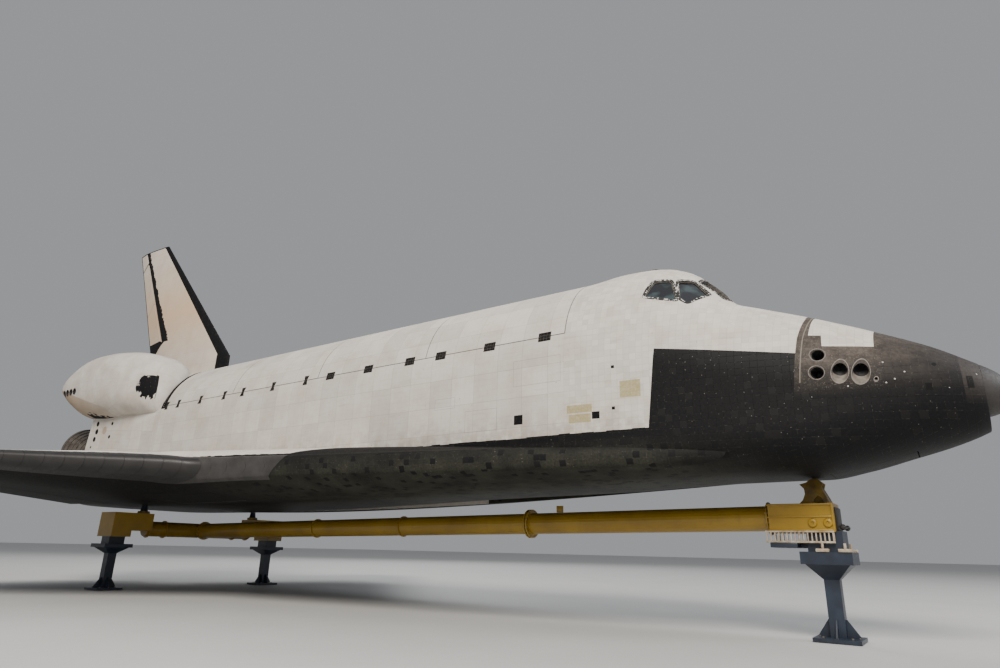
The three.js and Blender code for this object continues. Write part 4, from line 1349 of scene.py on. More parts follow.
def pod_patches(paint, c, station, butt, height, luck, white):
    """Dark tiles on a pod's side and along its foot, over a tan lower facet."""
    x, y = station - 1327, height - 452
    near = (x * x + y * y).math("SQRT") + luck * 8 < 22
    foot = (height < ((station - 1437) * 0.165 + 410 + luck * 5)) * station.inside(1437, 1500)
    facet = (height < ((station - 1428) * 0.30 + 425)) * (station > 1428)
    grey = paint.noise(paint.spot(), 1.6, 4).rise(0.35, 0.65) * 0.6
    tan = facet * station.rise(1430, 1540, 0.3, 0.9)
    return (near * (abs(butt) > 112)) | foot, paint.blend(white, (c["pod_grey"], grey), (c["tan"], tan))


def fin_patches(paint, c, station, butt, height, luck, white):
    """Black down the fin's leading edge and beside the rudder's hinge, and a dark trailing edge."""
    root, knee, tip = FIN["root"], FIN["knee"], FIN["tip"]
    lead = (height - knee["height"]).math("MAXIMUM", 0) + knee["lead"]
    share = (height - root["height"]) / (tip["height"] - root["height"])
    hinge, trail = (mix(root[edge], tip[edge], share) for edge in ("hinge", "trail"))
    front = station < (lead + height.rise(531, 815, 24, 12))
    behind = station > (hinge - height.rise(RUDDER_BOTTOM_HEIGHT, RUDDER_TOP_HEIGHT, 15, 6) - luck * 5)
    beside = behind * (station < (hinge + 2.5)) * (height > 588)
    aft, rise = station - fin_station("hinge", RUDDER_BOTTOM_HEIGHT), height - RUDDER_BOTTOM_HEIGHT
    up = aft * math.sin(RUDDER_LEAN) + rise * math.cos(RUDDER_LEAN)
    top = (RUDDER_TOP_HEIGHT - RUDDER_BOTTOM_HEIGHT) / math.cos(RUDDER_LEAN)
    ends = ((height < 592) * (up > -5)) | up.inside(top - 0.8, top + 1.5)
    wedge = (station > (hinge - 5)) * ends
    edge = (station > (trail - 2.6)) | (height > 813.5)
    foot = (height < 537) * (station < 1338)
    line = abs((station - 1596) * 0.855 + height - 680.6) < 0.7
    white = paint.blend(
        white,
        ((0.64, 0.45, 0.285), height.rise(540, 640, 0.2, 0.8) * height.rise(650, 780, 1.0, 0.25)),
        (c["joint"], line * (station > (hinge + 2.5)) * 0.6),
    )
    return front | beside | wedge | edge | foot, white


def glass_finish(name, c):
    """Dark coated panes with a faint tint."""
    paint = Paint(name, Coat_Weight=1.0, Coat_Roughness=0.03, IOR=1.52)
    haze = paint.noise(paint.spot(), 2.2, 2)
    tone = paint.blend((0.006, 0.007, 0.009), ((0.035, 0.055, 0.06), haze.rise(0.45, 0.65)))
    return paint.surface(tone, haze.rise(0.3, 0.7, 0.05, 0.12))


def gasket_finish(name, c):
    """Black tiles round the windows, chipped to white in small specks."""
    paint = Paint(name)
    _, speck = paint.cells(paint.spot(), 26.0)
    tone = paint.blend(c["black"], (c["white"], speck.rise(0.72, 0.76) * 0.75))
    return paint.surface(tone, 0.7, paint.bump(speck, 0.002))


def grooved_finish(name, c, colour, second, spacing, rough, metallic, across):
    """A sheet with even grooves or tubes along the orbiter, or across it, and soft stains."""
    paint = Paint(name, Metallic=metallic)
    station, _, _ = paint.drawing()
    along, around = paint.skin()
    line = abs(((station if across else around * (1 / INCH)) / spacing) % 1 - 0.5)
    sheet, _ = paint.tiles(along, around, 1.15, 0.012)
    broad = paint.noise(paint.spot(), 1.5, 4)
    stain = broad.rise(0.35, 0.7) * 0.7 | sheet | line.rise(0.42, 0.5) * 0.5
    relief = line.rise(0.3, 0.5) * -1.0 - sheet
    tone = paint.blend(colour, (second, stain))
    return paint.surface(tone, broad.rise(0.3, 0.7, *rough), paint.bump(relief, 0.003))


def cradle_finish(name, c):
    """Yellow paint, darkened all over as painted shade, darker still where it has run and worn, chipped
    along small scratches.
    """
    paint = Paint(name, Coat_Weight=0.25, Coat_Roughness=0.25)
    spot = paint.spot()
    broad, runs = paint.noise(spot, 0.9, 4), paint.noise(spot, 5, 4, 0.6, (1, 1, 0.25))
    fine = paint.noise(spot, 45, 3)
    scratch = paint.noise(spot, 14, 5, 0.7, (0.15, 1, 1)).rise(0.7, 0.74)
    tone = paint.blend(
        c["yellow"],
        (c["deep_yellow"], (broad.rise(0.4, 0.7) * 0.7) | (runs.rise(0.55, 0.75) * 0.5)),
        ((0.09, 0.06, 0.02), scratch * 0.6),
    )
    return paint.surface(tone, fine.rise(0.3, 0.7, 0.32, 0.5), paint.bump(fine * 0.4 - scratch, 0.0008))


# Settings

def colour(name, description, default):
    return bpy.props.FloatVectorProperty(
        name=name, description=description, default=default, subtype="COLOR", size=3, min=0, max=1,
    )


class OrbiterColours(bpy.types.PropertyGroup):
    """Colours of the orbiter and its cradle."""

    white: colour("White", "White blankets and tiles", (0.66, 0.635, 0.59))
    cream: colour("Cream", "Aged white", (0.56, 0.50, 0.43))
    soot: colour("Soot", "Stains on the white skin", (0.27, 0.22, 0.175))
    joint: colour("Joint", "Joints between white sheets", (0.20, 0.18, 0.16))
    black: colour("Black", "Black tiles", (0.007, 0.007, 0.008))
    # Painted reflection: olive floor light on the belly, laid over the black tiles.
    olive_bloom: colour("Olive bloom", "Faded tiles of the belly", (0.048, 0.049, 0.036))
    worn_black: colour("Worn black", "Black tiles that have faded", (0.022, 0.021, 0.02))
    # Pale joint also paints glints of light on black tile edges.
    pale_joint: colour("Pale joint", "Pale fillers, chips and painted edge glints between black tiles", (0.22, 0.195, 0.165))
    # Dusty grey that also paints the sheen of overhead light on the upper nose.
    dust: colour("Dust", "Dusty grey with painted sheen on the nose ahead of the cabin", (0.12, 0.1, 0.085))
    plate: colour("Plate", "Blank olive plates on the side", (0.34, 0.28, 0.10))
    tan: colour("Tan", "Tan lower facets of the pods", (0.36, 0.26, 0.17))
    pod_grey: colour("Pod grey", "Grey blankets on the pods", (0.47, 0.43, 0.39))
    carbon: colour("Carbon", "Leading edge panels", (0.052, 0.048, 0.046))
    # Painted shade: the cradle's yellow is darkened for the shade it stands in under the orbiter.
    yellow: colour("Yellow", "Paint of the cradle", (0.34, 0.205, 0.006))
    deep_yellow: colour("Deep yellow", "Worn paint of the cradle", (0.19, 0.105, 0.006))
    # Painted shade: the piers' blue is darkened for the shade they stand in.
    pier: colour("Pier", "Paint of the piers", (0.022, 0.032, 0.052))


class OrbiterSizes(bpy.types.PropertyGroup):
    """Fineness and small sizes of the pieces."""

    half_girth_steps: bpy.props.IntProperty(
        name="Girth steps", description="Points on one half of a body ring", default=64, min=16, max=160,
    )
    ring_spacing: bpy.props.FloatProperty(
        name="Ring spacing", description="Distance between the rings of the body",
        default=0.18, min=0.05, unit="LENGTH",
    )
    pane_set_back: bpy.props.FloatProperty(
        name="Pane set back", description="Depth of the outer panes under the skin",
        default=0.03, min=0.005, unit="LENGTH",
    )
    hat_bands: bpy.props.IntProperty(
        name="Hat bands", description="Stiffening rings on a main engine bell", default=9, min=2, max=20,
    )
    bay_frames: bpy.props.IntProperty(
        name="Bay frames", description="Round frames in the payload bay", default=13, min=2, max=40,
    )


def palette():
    group = bpy.context.scene.orbiter_colours
    return {name: tuple(getattr(group, name)) for name in OrbiterColours.__annotations__}


def sizes():
    return bpy.context.scene.orbiter_sizes


FINISHES = {}

# Plain finishes: two colours, lowest and highest roughness, size of the clouds, depth of the
# dents, metal, and stretch of the clouds. A colour's name stands for the one in the settings.
PLAIN_FINISHES = {
    "cut edge": ("joint", "black", (0.7, 0.9), 8),
    "carbon": ("carbon", (0.026, 0.024, 0.023), (0.4, 0.6), 2.0, 0.001),
    "outer carbon": ((0.022, 0.02, 0.02), (0.012, 0.011, 0.011), (0.4, 0.6), 2.0, 0.001),
    "nose carbon": ((0.032, 0.027, 0.024), (0.016, 0.014, 0.013), (0.5, 0.7), 2.0, 0.001),
    "pane frame": ((0.12, 0.105, 0.09), (0.04, 0.036, 0.032), (0.35, 0.55), 9),
    "base tile": ((0.03, 0.03, 0.03), "worn_black", (0.6, 0.85), 4.0, 0.002),
    "bell outside": ((0.24, 0.21, 0.18), (0.11, 0.09, 0.075), (0.32, 0.5), 5, 0.001, 0.75, (0.2, 1, 1)),
    "bell inside": ((0.22, 0.17, 0.13), (0.09, 0.07, 0.06), (0.35, 0.55), 5, 0.001, 0.6, (0.2, 1, 1)),
    "bell band": ((0.28, 0.26, 0.23), (0.14, 0.12, 0.1), (0.3, 0.5), 6, 0.0005, 0.8),
    "bare steel": ((0.30, 0.29, 0.27), (0.15, 0.12, 0.08), (0.3, 0.55), 9, 0.0005, 0.8),
    "thruster lining": ((0.24, 0.21, 0.18), (0.12, 0.105, 0.09), (0.6, 0.8), 9),
    # Painted shade: near black for the shade deep inside the thrusters' nozzles.
    "thruster throat": ((0.012, 0.012, 0.014), (0.03, 0.03, 0.03), (0.5, 0.7), 9),
    "thruster rim": ((0.26, 0.23, 0.2), (0.12, 0.11, 0.1), (0.6, 0.8), 9),
    "cabin paint": ((0.16, 0.17, 0.17), (0.1, 0.11, 0.11), (0.6, 0.8), 7),
    "seat cloth": ((0.04, 0.06, 0.08), (0.02, 0.03, 0.04), (0.85, 0.95), 30, 0.002),
    "bay frame": ((0.36, 0.38, 0.24), (0.26, 0.28, 0.18), (0.5, 0.7), 5),
    # Painted shade: a dark brown copy of the cradle's yellow, for the bracket where it stands in shade.
    "bracket paint": ((0.20, 0.125, 0.012), (0.07, 0.045, 0.015), (0.4, 0.6), 4),
    # Painted shade: the piers' blue is darkened for the shade they stand in.
    "pier paint": ("pier", (0.011, 0.015, 0.025), (0.3, 0.5), 2.5, 0.0006),
    "slat paint": ((0.52, 0.47, 0.38), (0.24, 0.15, 0.07), (0.5, 0.7), 7),
    "studio floor": ((0.52, 0.52, 0.51), (0.49, 0.49, 0.48), (0.6, 0.7), 0.3, 0.0001),
    "dark fitting": ((0.01, 0.009, 0.008), (0.025, 0.02, 0.015), (0.4, 0.6), 8),
}


# Other finishes: the function that makes each one, and what it takes after its name and the
# colours of the settings.
MADE_FINISHES = {
    "body tile": (body_finish, False),
    "body blanket": (body_finish,),
    "wing felt": (tiled_finish, wing_patches),
    "black tile": (tiled_finish, None),
    "elevon": (tiled_finish, elevon_patches),
    "body flap": (tiled_finish, flap_patches),
    "pod blanket": (tiled_finish, pod_patches, 0.55),
    "fin blanket": (tiled_finish, fin_patches, 0.7),
    "glass": (glass_finish,),
    "gasket": (gasket_finish,),
    "radiator": (
        grooved_finish, (0.62, 0.63, 0.64), (0.42, 0.42, 0.43), 2.5, (0.14, 0.28), 0.85, False,
    ),
    "bay liner": (grooved_finish, (0.52, 0.52, 0.48), (0.36, 0.36, 0.32), 24, (0.7, 0.9), 0, True),
    "cradle paint": (cradle_finish,),
}


def finish(name):
    """A named finish, made the first time that it is asked for."""
    if name not in FINISHES:
        c = palette()
        if name in PLAIN_FINISHES:
            first, second, *rest = PLAIN_FINISHES[name]
            FINISHES[name] = plain_finish(name, c.get(first, first), c.get(second, second), *rest)
        else:
            maker, *rest = MADE_FINISHES[name]
            FINISHES[name] = maker(name, c, *rest)
    return FINISHES[name]


# Pieces

class NoseAndCabin(bpy.types.Operator):
    """Nose cap, forward body with its windows, thrusters and wells, side hatch and nose gear doors"""

    bl_idname = "orbiter.nose_and_cabin"
    bl_label = "Nose and cabin"

    def execute(self, context):
        spacing, steps = sizes().ring_spacing / INCH, sizes().half_girth_steps
        cap = NOSE + 0.03 + (NOSE_CAP_BACK - NOSE - 0.06) * np.linspace(0, 1, 20) ** 2
        nose = hull("nose_cap_skin", cap, [0] * 19 + [-0.3], steps, table=CAP)
        wear(nose, "carbon_grey", "nose_cap", "nose carbon")

        stations = [NOSE_CAP_BACK + 0.03, *between(NOSE_CAP_BACK + 0.5, BAY_FRONT - 0.02, spacing)]
        whole = hull("whole_front", between(NOSE + 4, BAY_FRONT + 10, spacing), half_count=steps)
        surface = Surface(whole)
        shrink = [-0.5] + [0] * (len(stations) - 1)
        shell = hull("forward_fuselage_skin", stations, shrink, steps, caps=(0, 4))
        inside = hull("cabin_inside", between(CABIN_FRONT, CABIN_BACK, 10), -WALL, 32)
        wall = twin_of(shell, "cabin_wall")
        carve(wall, [twin_of(inside, "cabin_inside_twin")])
        hatch = hatch_cone(MOVING_GAP)
        carve(hatch, [wall], "INTERSECT")
        hatch.name = "side_hatch_door"
        wear(hatch, "white_tile", "side_hatch", "body tile", "cut edge")

        cutters, panes = [inside, hatch_cone(0)], []
        deep = sizes().pane_set_back
        for side, word in SIDES:
            for label, corners in PANES.items():
                cutter, outline, normal = pane_hole(f"hole_{label}", corners, side)
                cutters.append(cutter)
                rings = [[p + normal * (lift - deep) for p in spread(outline, 0.4)] for lift in (0, -0.012)]
                panes.append(loft(f"pane_{label}_{word}", rings))
                ring = finer(spread(outline, 0.05), 3)
                rim = band(f"window_gasket_{label}_{word}", surface, ring, spread(ring, 3.1), 0.15)
                wear(rim, "black_tile", None, "gasket")
                holder = retainer(f"retainer_{label}_{word}", outline, normal, deep)
                wear(holder, "carbon_grey", None, "pane frame")
        wear(join("outer_panes", panes), "window_glass", None, "glass")

        holes = thruster_holes(FORWARD_THRUSTERS, surface)
        cutters += [thruster_pocket(*hole) for hole in holes]
        rims = thruster_rims("forward_thruster_rims", surface, holes)
        wear(rims, "carbon_grey", None, "thruster rim")

        front, back, half = NOSE_WELL["front"], NOSE_WELL["back"], NOSE_WELL["half"]
        well = block("nose_gear_well", front, back, -half, half, 255, 320)
        carve(well, [raised(whole, "lifted", NOSE_WELL["depth"])])
        for cutter in cutters + [well]:
            carve(shell, [cutter])
        # The fourth of these, in the thrusters' throats, is painted shade.
        kinds = ("body tile", "cut edge", "thruster lining", "thruster throat", "bay liner")
        wear(shell, "white_tile", "forward_fuselage", *kinds)

        for side, word in SIDES:
            reach = sorted((side * MOVING_GAP, side * (half - MOVING_GAP)))
            door = block("door", front + DOOR_FRONT_GAP, back - MOVING_GAP, *reach, 255, 310)
            carve(door, [twin_of(whole, "skin_twin")], "INTERSECT")
            carve(door, [raised(whole, "lifted", DOOR_THICKNESS)])
            door.name = f"nose_gear_door_skin_{word}"
            wear(door, "black_tile", f"nose_gear_door_{word}", "body tile")
        discard(whole)
        return {"FINISHED"}


def retainer(name, outline, normal, deep):
    """The pale inner frame that holds a pane against its opening."""
    low, high = normal * (0.001 - deep), normal * (0.009 - deep)
    return frame_round(name, [
        (wide + low, wide + high, narrow + high, narrow + low)
        for wide, narrow in zip(spread(outline, -0.1), spread(outline, -1.1))
    ])


def trough(angles):
    """Butts and heights of the bay's round inside at some angles, and how far along it they lie."""
    line = (BAY_RADIUS * np.cos(angles), BAY_CENTRE_HEIGHT + BAY_RADIUS * np.sin(angles))
    return np.stack(line, 1), angles * BAY_RADIUS


def slice_of(station, line, run, side=1):
    """A ring's points at a station, and their places on its own map."""
    return [place(station, side * b, h) for b, h in line], [(station * INCH, r * INCH) for r in run]


class PayloadBay(bpy.types.Operator):
    """Middle body with its open bay, and the two bay doors in four panels each"""

    bl_idname = "orbiter.payload_bay"
    bl_label = "Payload bay"

    def execute(self, context):
        rings, spots = [], []
        count, deep = 90, 48
        cut = SILL_HEIGHT - MOVING_GAP
        top = math.asin((cut - BAY_CENTRE_HEIGHT) / BAY_RADIUS)
        inner, inner_run = trough(np.linspace(top, -math.pi - top, deep))
        for station in between(BAY_FRONT, BAY_BACK, sizes().ring_spacing / INCH * 2):
            line = half_outline(station)
            below = line[line[:, 1] < cut]
            edge = np.interp(cut, line[::-1, 1], line[::-1, 0])
            side, run = even(np.vstack(([[edge, cut]], below)), count // 2 + 1)
            outer = (side * (-1, 1), side[-2::-1], inner)
            ring, spot = slice_of(station, np.vstack(outer), np.concatenate((run, run[-2::-1], inner_run)))
            rings.append(ring)
            spots.append(spot)
        zones = [0] * (len(rings[0]) - deep - 1) + [1] * (deep + 1)
        middle = loft("mid_fuselage_skin", rings, spots, zones, caps=(1, 1))
        wear(middle, "white_blanket", "mid_fuselage", "body blanket", "bay liner")
        across = Matrix(((0, 0, -1, 0), (1, 0, 0, 0), (0, 1, 0, 0), (0, 0, 0, 1)))
        low = math.asin((SILL_HEIGHT - 4 - BAY_CENTRE_HEIGHT) / BAY_RADIUS)
        ribs = bay_frames().run(
            "bay_frames", Matrix.Translation(place(BAY_FRONT + 25, 0, BAY_CENTRE_HEIGHT)) @ across,
            Count=sizes().bay_frames, Spacing=(BAY_BACK - BAY_FRONT - 50) * INCH / (sizes().bay_frames - 1),
            Radius=(BAY_RADIUS - 0.8) * INCH, Start=math.pi - low, Sweep=math.pi + 2 * low,
        )
        wear(ribs, "cabin_grey")

        for side, word in SIDES:
            panels = []
            for k in range(4):
                front = DOOR_SEAMS[k] + (MOVING_GAP if k == 0 else 0.2)
                back = DOOR_SEAMS[k + 1] - (MOVING_GAP if k == 3 else 0.2)
                panels.append(door_panel(f"panel_{k}", side, front, back))
            name = f"payload_bay_door_{word}"
            wear(join(f"{name}_skin", panels), "white_blanket", name, "body blanket", "radiator")
        return {"FINISHED"}


def door_panel(name, side, front, back):
    """One panel of a bay door: blanket outside, radiator inside."""
    count, start = 40, SILL_HEIGHT + MOVING_GAP
    line = half_outline(900)
    above = line[line[:, 1] > start]
    above[:, 0] = above[:, 0].clip(MOVING_GAP / 2)
    edge = np.interp(start, line[::-1, 1], line[::-1, 0])
    outer, run = even(np.vstack((above, [[edge, start]])), count)
    low = math.asin((start - BAY_CENTRE_HEIGHT) / BAY_RADIUS)
    inner, inner_run = trough(np.linspace(low, math.acos(MOVING_GAP / 2 / BAY_RADIUS), count))
    ring, runs = np.vstack((outer, inner)), np.concatenate((run, inner_run))
    slices = [slice_of(station, ring, runs, side) for station in (front, mix(front, back, 0.5), back)]
    zones = [0] * (count - 1) + [1] * (count + 1)
    return loft(name, *zip(*slices), zones, caps=(1, 1))


class AftBody(bpy.types.Operator):
    """Aft body with its engine domes, the body flap's hinge groove, and the pods"""

    bl_idname = "orbiter.aft_body"
    bl_label = "Aft body"

    def execute(self, context):
        spacing, steps = sizes().ring_spacing / INCH, sizes().half_girth_steps
        skin = between(BAY_BACK + 0.02, BASE_STATION, spacing)
        body = hull("aft_fuselage_skin", skin, 0, steps, True, caps=(2, 1))
        around = hull("aft_around", aft_skirt(spacing), 0.02, steps, True)
        for engine in MAIN_ENGINES.values():
            line = engine_line(engine)
            dome = [(0, 40), (40, 40), (38.5, 52), (35, 60), (31, 66), (24, 74), (0, 74)]
            carve(body, [lathe("dome", dome, *line, 96, [1] * 6)], "UNION")
            start = MAIN_BELL["start"]
            room = [(bell_radius(MAIN_BELL, distance) + 2, distance) for distance in (start, start + 2, 90)]
            pocket = [(0, 52), (room[0][0], 52), *room[1:], (0, 90)]
            carve(body, [lathe("pocket", pocket, *line, 96, [1] * 4)])
        groove = FLAP_HINGE["radius"] + 0.6
        hinge = [(0, 0), (groove, 0), (groove, 280), (0, 280)]
        spot = place(FLAP_HINGE["station"], -140, FLAP_HINGE["height"])
        carve(body, [lathe("hinge_groove", hinge, spot, (0, 1, 0), 48, [1] * 3)])
        wear(body, "white_tile", "aft_fuselage", "body blanket", "base tile", "bay liner")

        for side, word in SIDES:
            pod = pod_solid(f"oms_pod_skin_{word}", side)
            carve(pod, [twin_of(around, "around_twin")])
            start = ORBIT_BELL["start"] - 4
            pocket = [(0, start), (13, start), (26, 60), (30, 90), (0, 90)]
            carve(pod, [lathe("pod_pocket", pocket, *engine_line(ORBIT_ENGINE, side), 64, [1] * 4)])
            surface = Surface(pod)
            holes = thruster_holes(AFT_THRUSTERS, surface, (side,))
            for hole in holes:
                carve(pod, [thruster_pocket(*hole)])
            rims = thruster_rims(f"aft_thruster_rims_{word}", surface, holes)
            wear(rims, "carbon_grey", None, "pane frame")
            # The aft thrusters' pockets are near black all through, as painted shade.
            kinds = ("pod blanket", "base tile", "thruster throat", "thruster throat")
            wear(pod, "white_blanket", f"oms_pod_{word}", *kinds)
        discard(around)
        return {"FINISHED"}


class Engines(bpy.types.Operator):
    """Main and orbital engine bells with their stiffening rings"""

    bl_idname = "orbiter.engines"
    bl_label = "Engines"

    def execute(self, context):
        kinds = ("bell outside", "bell inside", "bell outside")
        rings = hat_bands()
        for name, engine in MAIN_ENGINES.items():
            bell = bell_solid(f"{name}_bell", MAIN_BELL, engine_line(engine))
            wear(bell, "engine_metal", name, *kinds)
            bands = rings.run(
                f"{name}_bands", standing(*engine_line(engine)), Rings=sizes().hat_bands,
                Start=(MAIN_BELL["start"] + 14) * INCH, End=(MAIN_BELL["length"] - 5) * INCH,
                Throat=MAIN_BELL["throat"] * INCH, Length=MAIN_BELL["length"] * INCH,
                Inner=MAIN_BELL["throat_radius"] * INCH, Outer=MAIN_BELL["exit_radius"] * INCH,
                Width=2.2 * INCH,
            )
            wear(bands, "engine_metal")
        for side, word in SIDES:
            bell = bell_solid(f"oms_bell_{word}", ORBIT_BELL, engine_line(ORBIT_ENGINE, side), 64, 14)
            wear(bell, "engine_metal", f"oms_nozzle_{word}", *kinds)
        return {"FINISHED"}


class Wings(bpy.types.Operator):
    """Wings with their leading edge panels, main gear doors and the room that the elevons turn in"""

    bl_idname = "orbiter.wings"
    bl_label = "Wings"

    def execute(self, context):
        whole = wing_solid()
        spacing = sizes().ring_spacing / INCH
        around = hull("wing_root", between(400, BASE_STATION, spacing), 0.02, sizes().half_girth_steps)
        hollow = gear_slab("gear_well")
        carve(hollow, [raised(whole, "lifted", MAIN_WELL["depth"])])
        door = gear_slab("main_gear_door", DOOR_FRONT_GAP, MOVING_GAP)
        carve(door, [twin_of(whole, "whole_twin")], "INTERSECT")
        carve(door, [raised(whole, "lifted", DOOR_THICKNESS)])
        carve(whole, [elevon_cove(), around, hollow])
        kinds = ("wing felt", "black tile", "base tile", "cut edge")
        sides = ((twin_of, "left"), (mirrored, "right"))
        for copy, word in sides:
            wear(copy(whole, f"wing_skin_{word}"), "black_tile", f"wing_{word}", *kinds)
            made = copy(door, f"main_gear_door_skin_{word}")
            wear(made, "black_tile", f"main_gear_door_{word}", "black tile")
        panels = edge_panels()
        for copy, word in sides:
            made = copy(panels, f"leading_edge_panels_{word}")
            wear(made, "carbon_grey", None, "carbon", "outer carbon")
        discard(whole, door, panels)
        return {"FINISHED"}


class FinAndRudder(bpy.types.Operator):
    """Fin with its bands of black tiles"""

    bl_idname = "orbiter.fin_and_rudder"
    bl_label = "Fin and rudder"

    def execute(self, context):
        fin = fin_solid("vertical_fin_skin")
        room = [(0, 38), (43, 38), (43, 76), (48, 160), (0, 160)]
        clear = lathe("clear", room, *engine_line(MAIN_ENGINES["main_engine_upper"]), 96)
        rings = []
        for height in (RUDDER_BOTTOM_HEIGHT, RUDDER_TOP_HEIGHT):
            front = -fin_half(height) * 0.98 - 0.5
            corners = ((front, -40), (160, -40), (160, 40), (front, 40))
            rings.append([beside_hinge(height, across, butt) for across, butt in corners])
        around = hull("fin_root", aft_skirt(12), 0.02, 64, True)
        carve(fin, [clear, loft("rudder_slot", rings), around])
        wear(fin, "fin_blanket", "vertical_fin", "fin blanket")
        return {"FINISHED"}


class Carried(bpy.types.Operator):
    """Finishes on the parts whose plain shapes stay"""

    bl_idname = "orbiter.carried_parts"
    bl_label = "Carried parts"

    def execute(self, context):
        kinds = (
            ("windshield", "glass"), ("floor", "cabin paint"), ("instrument", "cabin paint"),
            ("_seat", "seat cloth"), ("body_flap", "body flap"), ("rudder_hinge", "black tile"),
            ("rudder_panel", "fin blanket"), ("elevon_", "elevon"), ("pier", "pier paint"),
            # The brackets take the dark brown copy of the cradle's yellow, as painted shade.
            ("strut", "pier paint"), ("bracket", "bracket paint"), ("stand_", "cradle paint"),
        )
        for name, node in frame["nodes"].items():
            kind = next((kind for word, kind in kinds if word in name), None)
            for slot in node.material_slots if kind else ():
                slot.material = finish(kind)
        return {"FINISHED"}


class Cradle(bpy.types.Operator):
    """Flanges, bolts, lugs, slats and feet on the cradle and its piers"""

    bl_idname = "orbiter.cradle"
    bl_label = "Cradle"

    def execute(self, context):
        yellow, brown, grey, steel, dark, slats, pads = [], [], [], [], [], [], []
        bolts, rows = bolt_circle(), slat_row()

        def bolt_ring(spot, count, radius, size, height):
            lengths = {"Radius": radius * INCH, "Size": size * INCH, "Height": height * INCH}
            steel.append(bolts.run("bolts", spot, Count=count, **lengths))

        back, back_height, radius = STAND_TUBE["back"], STAND_TUBE["back_height"], STAND_TUBE["radius"]
        start, end = place(STAND_TUBE["front"], 0, STAND_TUBE["front_height"]), place(back, 0, back_height)
        way = (end - start).normalized()
        for station, out, thick in (
            (428.5, 3.4, 1.4), (680, 4.2, 1.6), (683, 4.2, 1.6), (871, 1.6, 1.2), (1032, 1.6, 1.2),
            (1302, 3, 1.4),
        ):
            spot = start.lerp(end, (station - STAND_TUBE["front"]) / (back - STAND_TUBE["front"]))
            yellow.append(lathe("flange", puck(radius + out, thick), spot, way))
            for lift in (-0.3, thick + 0.3) if out > 2 else ():
                bolt_ring(standing(spot + way * lift * INCH, way), 20, radius + out - 1.5, 0.75, 0.8)
        yellow.append(block("lug", 642, 650, -1, 1, 255, 262, 0.6))
        for side in (1, -1):
            for butt in (60, 86):
                spot = place(back, side * butt, back_height)
                yellow.append(lathe("collar", puck(radius + 2, 1.6), spot, (0, side, 0)))
            spot = place(back, side * STRUT_BUTT, 255.9)
            yellow.append(lathe("strut_foot", puck(8.6, 4, 0.8), spot, (0, 0, 1), 48))
            bolt_ring(standing(place(back, side * STRUT_BUTT, 259.2), (0, 0, 1)), 10, 7.4, 0.6, 0.7)

        front, back, half = STAND_BOX["front"], STAND_BOX["back"], STAND_BOX["half"]
        for side in (1, -1):
            reach = sorted((side * (half - 0.2), side * (half + 0.9)))
            for low, high in ((246.9, 248.3), (257, 258.6), (235.6, 237.2)):
                yellow.append(block("rib", front - 0.6, back + 0.6, *reach, low, high, 0.25))
            boss = [(0, 0), (3.6, 0), (3.8, 0.3), (3.2, 1.4), (2.2, 1.8), (1.4, 1.8), (1.2, 0.9), (0, 0.9)]
            for station in (391.5, 379.5):
                yellow.append(lathe("boss", boss, place(station, side * half, 242.3), (0, side, 0), 40))
            brown.append(bracket_plate(side))
        yellow.append(block("end_plate", front - 1.6, front + 0.2, -half - 1, half + 1, 235, 259, 0.4))
        dark.append(block("front_fitting", 372.4, front - 1.4, -11, 11, 236.5, 255.5, 0.5))
        knob = [(0, -2.4), (1.4, -2), (2.2, -1), (2.4, 0), (2.2, 1), (1.4, 2), (0, 2.4)]
        for butt in (-12, 12):
            dark.append(lathe("knob", knob, place(369, butt, 239), (0, 1, 0), 32))
        dark.append(block("knob_bar", 368.2, 373, -1.5, 1.5, 238, 240, 0.3))
        dark.append(bar("knob_axle", place(369, -12, 239), place(369, 12, 239), 0.8))

        slat = {"Width": 1.1 * INCH, "Depth": 0.9 * INCH, "Height": 8.4 * INCH}
        for side in (1, -1):
            spot = Matrix.Translation(place(376.5, side * (half + 1), 231))
            slats.append(rows.run("slats", spot, Count=17, Spacing=-3.3 * INCH, **slat))
            if side > 0:
                spot = Matrix.Translation(place(376, -half, 231)) @ Matrix.Rotation(math.pi / 2, 4, "Z")
                slats.append(rows.run("slats", spot, Count=10, Spacing=3.4 * INCH, **slat))
            reach = sorted((side * (half + 0.2), side * (half + 1.8)))
            for low, high in ((226, 227.6), (234.6, 236)):
                slats.append(block("rail", 375.4, 430.5, *reach, low, high, 0.2))
        wear(join("cradle_slats", slats), "pier_grey", None, "slat paint")

        grey.append(block("cross_bearer", 405, 427, -half - 3, half + 3, 222, 226, 0.4))
        grey.append(block("long_bearer", 372, 428, -3, 3, 222, 226, 0.4))
        for station in (369, 386):
            for butt in (17, -17):
                pads.append(bar("post", place(station, butt, 218.8), place(station, butt, 226), 1.1))
                pads.append(block("pad", station - 5, station + 5, butt - 4, butt + 4, 219, 221.6, 0.4))
        wear(join("levelling_feet", pads), "cabin_grey", None, "slat paint")

        for station, butt in PIERS:
            middle = place(station, butt, FLOOR_HEIGHT + 3.3)
            bolt_ring(Matrix.Translation(middle), 8, 15, 1.1, 1.4)
            grey += [gusset(middle, turn) for turn in range(4)]
        wear(join("cradle_fittings", yellow), "stand_yellow", None, "cradle paint")
        # The bracket plates wear the cradle's yellow darkened to brown, as painted shade.
        wear(join("bracket_plates", brown), "stand_yellow", None, "bracket paint")
        wear(join("pier_fittings", grey), "pier_grey", None, "pier paint")
        wear(join("cradle_front_fittings", dark), "carbon_grey", None, "dark fitting")
        wear(join("cradle_bolts", steel), "engine_metal")
        return {"FINISHED"}


